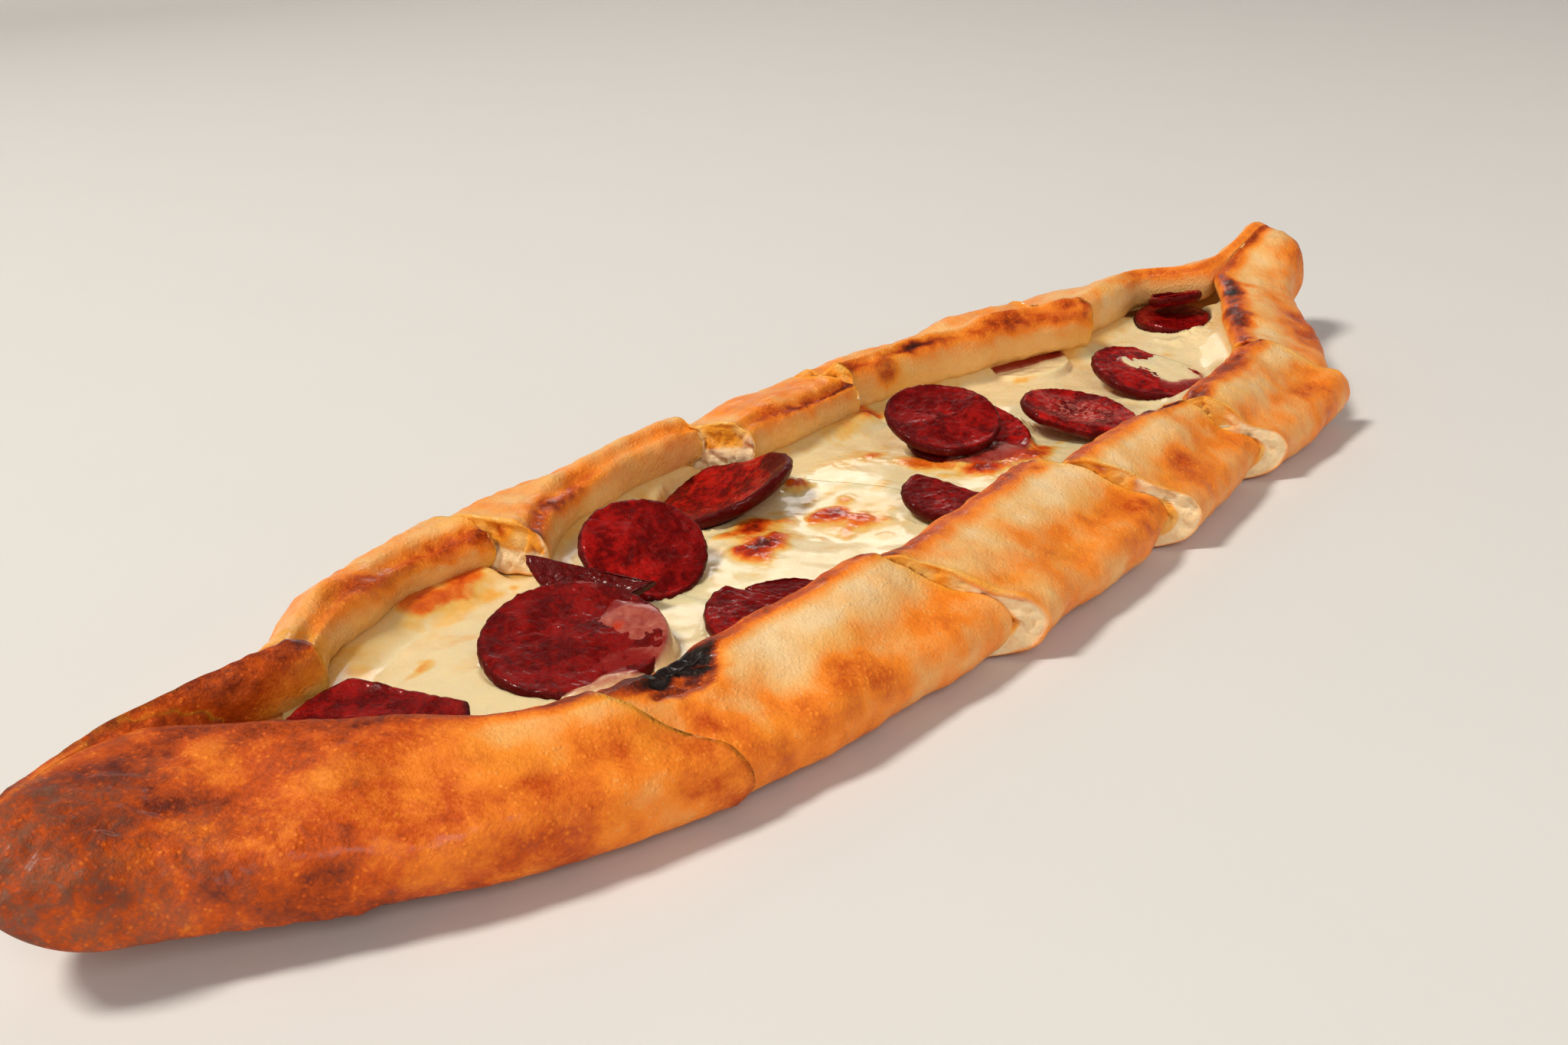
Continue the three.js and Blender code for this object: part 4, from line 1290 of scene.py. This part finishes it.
def cheese_slab(piece, index, settings):
    """A slab of cheese: a grid of heights between its cuts and out to its edges, with a skirt down
    to the dough's floor and a fan of faces underneath."""
    first = CHEESE_KERFS[index - 1] if index else 0
    last = CHEESE_KERFS[index] if index < len(CUTS) else 0
    t = np.linspace(0, 1, CHEESE_ALONG)[:, None]
    across = np.linspace(-1, 1, CHEESE_ACROSS)[None, :]
    across = across + 0.45 * np.sin(2 * np.pi * across) / (2 * np.pi)
    cut = cut_at(index, t, 0, CHEESE_ENDS)
    cut = (cut[0] + mix(first, -last, t) / 2, cut[1], cut[2])
    slid = mix(piece.slid[0], piece.slid[1], t)
    x = cut[0] + 0 * across
    for _ in range(6):
        inside = np.minimum(x - CHEESE_ENDS[0], CHEESE_ENDS[1] - x)
        round_end = np.sqrt(smooth(0, CHEESE_ROUNDING, inside))
        near, far = (side_width(piece, x, t, name) for name in ("near", "far"))
        side = np.where(across < 0, near, far)
        reach = np.maximum(3, (side - CHEESE_INSET * np.minimum(1, side / NARROW)) * round_end)
        y = reach * across
        x = cut_x(cut, y + slid)
    y = y + slid
    top, toast, film, hidden, grease = cheese_height(x, y, piece, t + 0 * x, settings)
    points = np.stack([x, y, top], -1)
    rows, columns = x.shape
    number = np.arange(rows * columns).reshape(rows, columns)
    ring = np.concatenate([number[0, :-1], number[:-1, -1], number[-1, :0:-1], number[:0:-1, 0]])
    flat = points.reshape(-1, 3)
    rim = flat[ring]
    bed = FLOOR * fullness(rim[:, 0]) + tip_rise(rim[:, 0]) + 0.3
    skirt = [np.column_stack([rim[:, :2], mix(rim[:, 2], bed, s)]) for s in (0.33, 0.66, 1.0)]
    middle = skirt[-1].mean(0)
    count = len(ring)
    every = np.concatenate([flat, *skirt, middle[None]])
    skirt_number = np.stack([ring, *[len(flat) + k * count + np.arange(count) for k in range(3)]])
    fan = skirt_number[-1]
    tri = np.concatenate(
        [
            grid_faces(number, False),
            grid_faces(skirt_number, True)[:, ::-1],
            np.stack([np.roll(fan, -1), fan, np.full(count, len(every) - 1)], -1),
        ]
    )
    if normals_of(every, tri)[number[rows // 2, columns // 2], 2] < 0:
        tri = tri[:, ::-1]

    def whole(values):
        ring_values = values.ravel()[ring]
        return np.concatenate([values.ravel(), *[ring_values] * 3, [ring_values.mean()]])

    shown = {"toast": toast, "film": film, "hidden": hidden, "grease": grease}
    fields = {key: whole(values) for key, values in shown.items()}
    return every, tri, fields, ring


def cheese_look(s):
    """Melted cheese: cream, going through yellow and orange to brown where it is toasted, glossy,
    with small bubbles, and a reddish, see-through film where it lies thin over sausage."""
    k = Look("melted_cheese")
    toast, film, hidden, grease = (k.field(n) for n in ("toast", "film", "hidden", "grease"))
    broad = k.noise(10, 3, 0.55)
    fine = k.noise(1.8, 4, 0.6)
    tiny = k.noise(0.6, 2, 0.5)
    value = toast * (1 + (fine - 0.5) * 0.8) + k.step(broad, 0.45, 0.75, 0.0, 0.13)
    value = value + (tiny - 0.5) * 0.03
    base = k.ramp(
        value,
        [
            (0.0, s.cream),
            (0.08, s.cream),
            (0.24, s.yellow),
            (0.46, s.toasted),
            (0.68, s.rust),
            (0.92, s.burnt),
        ],
    )
    base = k.blend(grease * k.step(fine, 0.35, 0.65) * 0.3, base, s.toasted)
    streaks = (k.noise(3.4, 4, 0.65, 1.2) - 0.5) * 1.1
    thin = k.blend(k.step(hidden + streaks + (fine - 0.5) * 0.4, 0.1, 0.95), s.soaked, s.film)
    thin = k.blend(k.step(hidden + streaks * 0.3, 0.6, 0.9), thin, s.cream)
    thin = k.blend(k.step(toast + (fine - 0.5) * 0.3, 0.2, 0.6), thin, s.rust)
    base = k.blend(film, base, thin)
    bubbles = k.step(k.cells(2.7), 0.5, 0.1)
    relief = broad * 0.16 + bubbles * 0.1 * k.step(broad, 0.45, 0.6) + fine * (toast + 0.02)
    normal = k.bump(relief, 0.3)
    roughness = 0.27 + (fine - 0.5) * 0.12 - toast * 0.08
    coat = k.step(broad, 0.35, 0.65, 0.2, 0.7)
    return k.finish(
        {
            "IOR": 1.42,
            "Specular IOR Level": 0.45,
            "Subsurface Weight": 0.4,
            "Subsurface Radius": (1.0, 0.62, 0.28),
            "Subsurface Scale": 0.005,
            "Coat Roughness": 0.1,
        },
        {"Base Color": base, "Roughness": roughness, "Coat Weight": coat, "Normal": normal},
    )


class PIDE_OT_cheese(bpy.types.Operator):
    """Melts the cheese of each slice"""

    bl_idname = "pide.cheese"
    bl_label = "Cheese"

    def execute(self, context):
        settings = context.scene.pide_cheese
        look = cheese_look(settings)
        for index, piece in enumerate(SLICES):
            points, tri, fields, ring = cheese_slab(piece, index, settings)
            names = f"melt_{piece.name}", f"cheese_{piece.name}"
            make_piece(names[0], points, tri, fields, look, names[1], ring)
        return {"FINISHED"}


# ---- Stage ----

CAMERA_AT = (-0.2634, -0.2143, 0.1538)
CAMERA_RIGHT = (0.6645, -0.7459, -0.0464)
CAMERA_AHEAD = (0.6732, 0.6244, -0.3961)
CAMERA_LENS = 35.14
SENSOR_WIDTH = 36

# The floor in metres: half its width, how far out it is flat, how steeply it curves up beyond,
# how far it lies under the bread, and how many points it has along a side.
FLOOR_HALF = 3
FLOOR_FLAT = 2.2
FLOOR_CURVE = 1.2
FLOOR_DROP = 0.0002
FLOOR_POINTS = 60
FLOOR_SHADE = (0.62, 0.6, 0.57)

SKY_COLOUR = (0.95, 0.97, 1, 1)

# The lamps, which shine at the middle of the bread: place, size and tint.
LAMPS = {
    "key": ((-1.35, 0.9, 2.6), 0.7, (1, 0.96, 0.9)),
    "fill": ((-1.5, -2.4, 2.2), 1.8, (1, 0.98, 0.96)),
    "shine": ((1.7, 1.6, 1.15), 0.7, (1, 0.98, 0.95)),
}


def floor_mesh():
    """A flat floor that curves up as a square law beyond its flat middle."""
    side = np.linspace(-FLOOR_HALF, FLOOR_HALF, FLOOR_POINTS)
    x, y = np.meshgrid(side, side, indexing="ij")
    beyond = np.maximum(0, np.hypot(x, y) - FLOOR_FLAT)
    points = np.stack([x, y, FLOOR_CURVE * beyond**2 - FLOOR_DROP], -1).reshape(-1, 3)
    tri = grid_faces(np.arange(FLOOR_POINTS**2).reshape(FLOOR_POINTS, FLOOR_POINTS), False)
    if normals_of(points, tri)[:, 2].sum() < 0:
        tri = tri[:, ::-1]
    mesh = bpy.data.meshes.new("floor")
    mesh.from_pydata(points.tolist(), [], tri.tolist())
    mesh.polygons.foreach_set("use_smooth", np.ones(len(tri), bool))
    return mesh


def area_light(name, place, size, watts, tint):
    """A round lamp that shines at the middle of the bread."""
    light = bpy.data.lights.new(name, "AREA")
    light.shape, light.size, light.energy, light.color = "DISK", size, watts, tint
    lamp = bpy.data.objects.new(name, light)
    lamp.location = place
    lamp.rotation_euler = (-Vector(place)).to_track_quat("-Z", "Y").to_euler()
    bpy.context.scene.collection.objects.link(lamp)


def camera():
    """The camera, from its place and the ways that its right side and its lens face."""
    ahead, right = Vector(CAMERA_AHEAD).normalized(), Vector(CAMERA_RIGHT).normalized()
    turn = Matrix((right, right.cross(ahead), -ahead)).transposed().to_4x4()
    data = bpy.data.cameras.new("camera")
    data.lens, data.sensor_width, data.clip_start = CAMERA_LENS, SENSOR_WIDTH, 0.01
    one = bpy.data.objects.new("camera", data)
    one.matrix_world = Matrix.Translation(CAMERA_AT) @ turn
    return one


class PIDE_OT_stage(bpy.types.Operator):
    """Sets the floor, the lights and the camera"""

    bl_idname = "pide.stage"
    bl_label = "Stage"

    def execute(self, context):
        scene = context.scene
        s = scene.pide_stage
        mesh = floor_mesh()
        k = Look("plain_floor")
        tone = k.blend(k.noise(60, 3) * 0.12, s.floor, FLOOR_SHADE)
        mesh.materials.append(k.finish({"Roughness": 0.75}, {"Base Color": tone}))
        floor = bpy.data.objects.new("floor", mesh)
        scene.collection.objects.link(floor)
        for name, (place, size, tint) in LAMPS.items():
            area_light(name, place, size, getattr(s, name), tint)
        world = bpy.data.worlds.new("even_light")
        world.use_nodes = True
        background = world.node_tree.nodes["Background"]
        background.inputs["Color"].default_value = SKY_COLOUR
        background.inputs["Strength"].default_value = s.sky
        scene.world = world
        scene.view_settings.view_transform = "Standard"
        scene.camera = camera()
        scene.collection.objects.link(scene.camera)
        return {"FINISHED"}


class PIDE_PT_panel(bpy.types.Panel):
    """Lists the steps that bake the bread"""

    bl_idname = "PIDE_PT_panel"
    bl_label = "Filled flatbread"
    bl_space_type = "VIEW_3D"
    bl_region_type = "UI"
    bl_category = "Pide"

    def draw(self, context):
        scene = context.scene
        for key, operator in zip(GROUPS, OPERATORS):
            box = self.layout.box()
            settings = getattr(scene, f"pide_{key}")
            for name in settings.__annotations__:
                box.prop(settings, name)
            box.operator(operator.bl_idname)


GROUPS = {
    "dough": DoughSettings,
    "cheese": CheeseSettings,
    "sausage": SausageSettings,
    "stage": StageSettings,
}
OPERATORS = (PIDE_OT_dough, PIDE_OT_cheese, PIDE_OT_sausage, PIDE_OT_stage)


def register():
    for key, group in GROUPS.items():
        bpy.utils.register_class(group)
        setattr(bpy.types.Scene, f"pide_{key}", bpy.props.PointerProperty(type=group))
    for one in (*OPERATORS, PIDE_PT_panel):
        bpy.utils.register_class(one)


def unregister():
    for one in (PIDE_PT_panel, *reversed(OPERATORS)):
        bpy.utils.unregister_class(one)
    for key, group in reversed(GROUPS.items()):
        delattr(bpy.types.Scene, f"pide_{key}")
        bpy.utils.unregister_class(group)


def main():
    register()
    bpy.ops.pide.stage()
    bpy.ops.pide.dough()
    bpy.ops.pide.cheese()
    bpy.ops.pide.sausage()


if __name__ == "__main__":
    main()
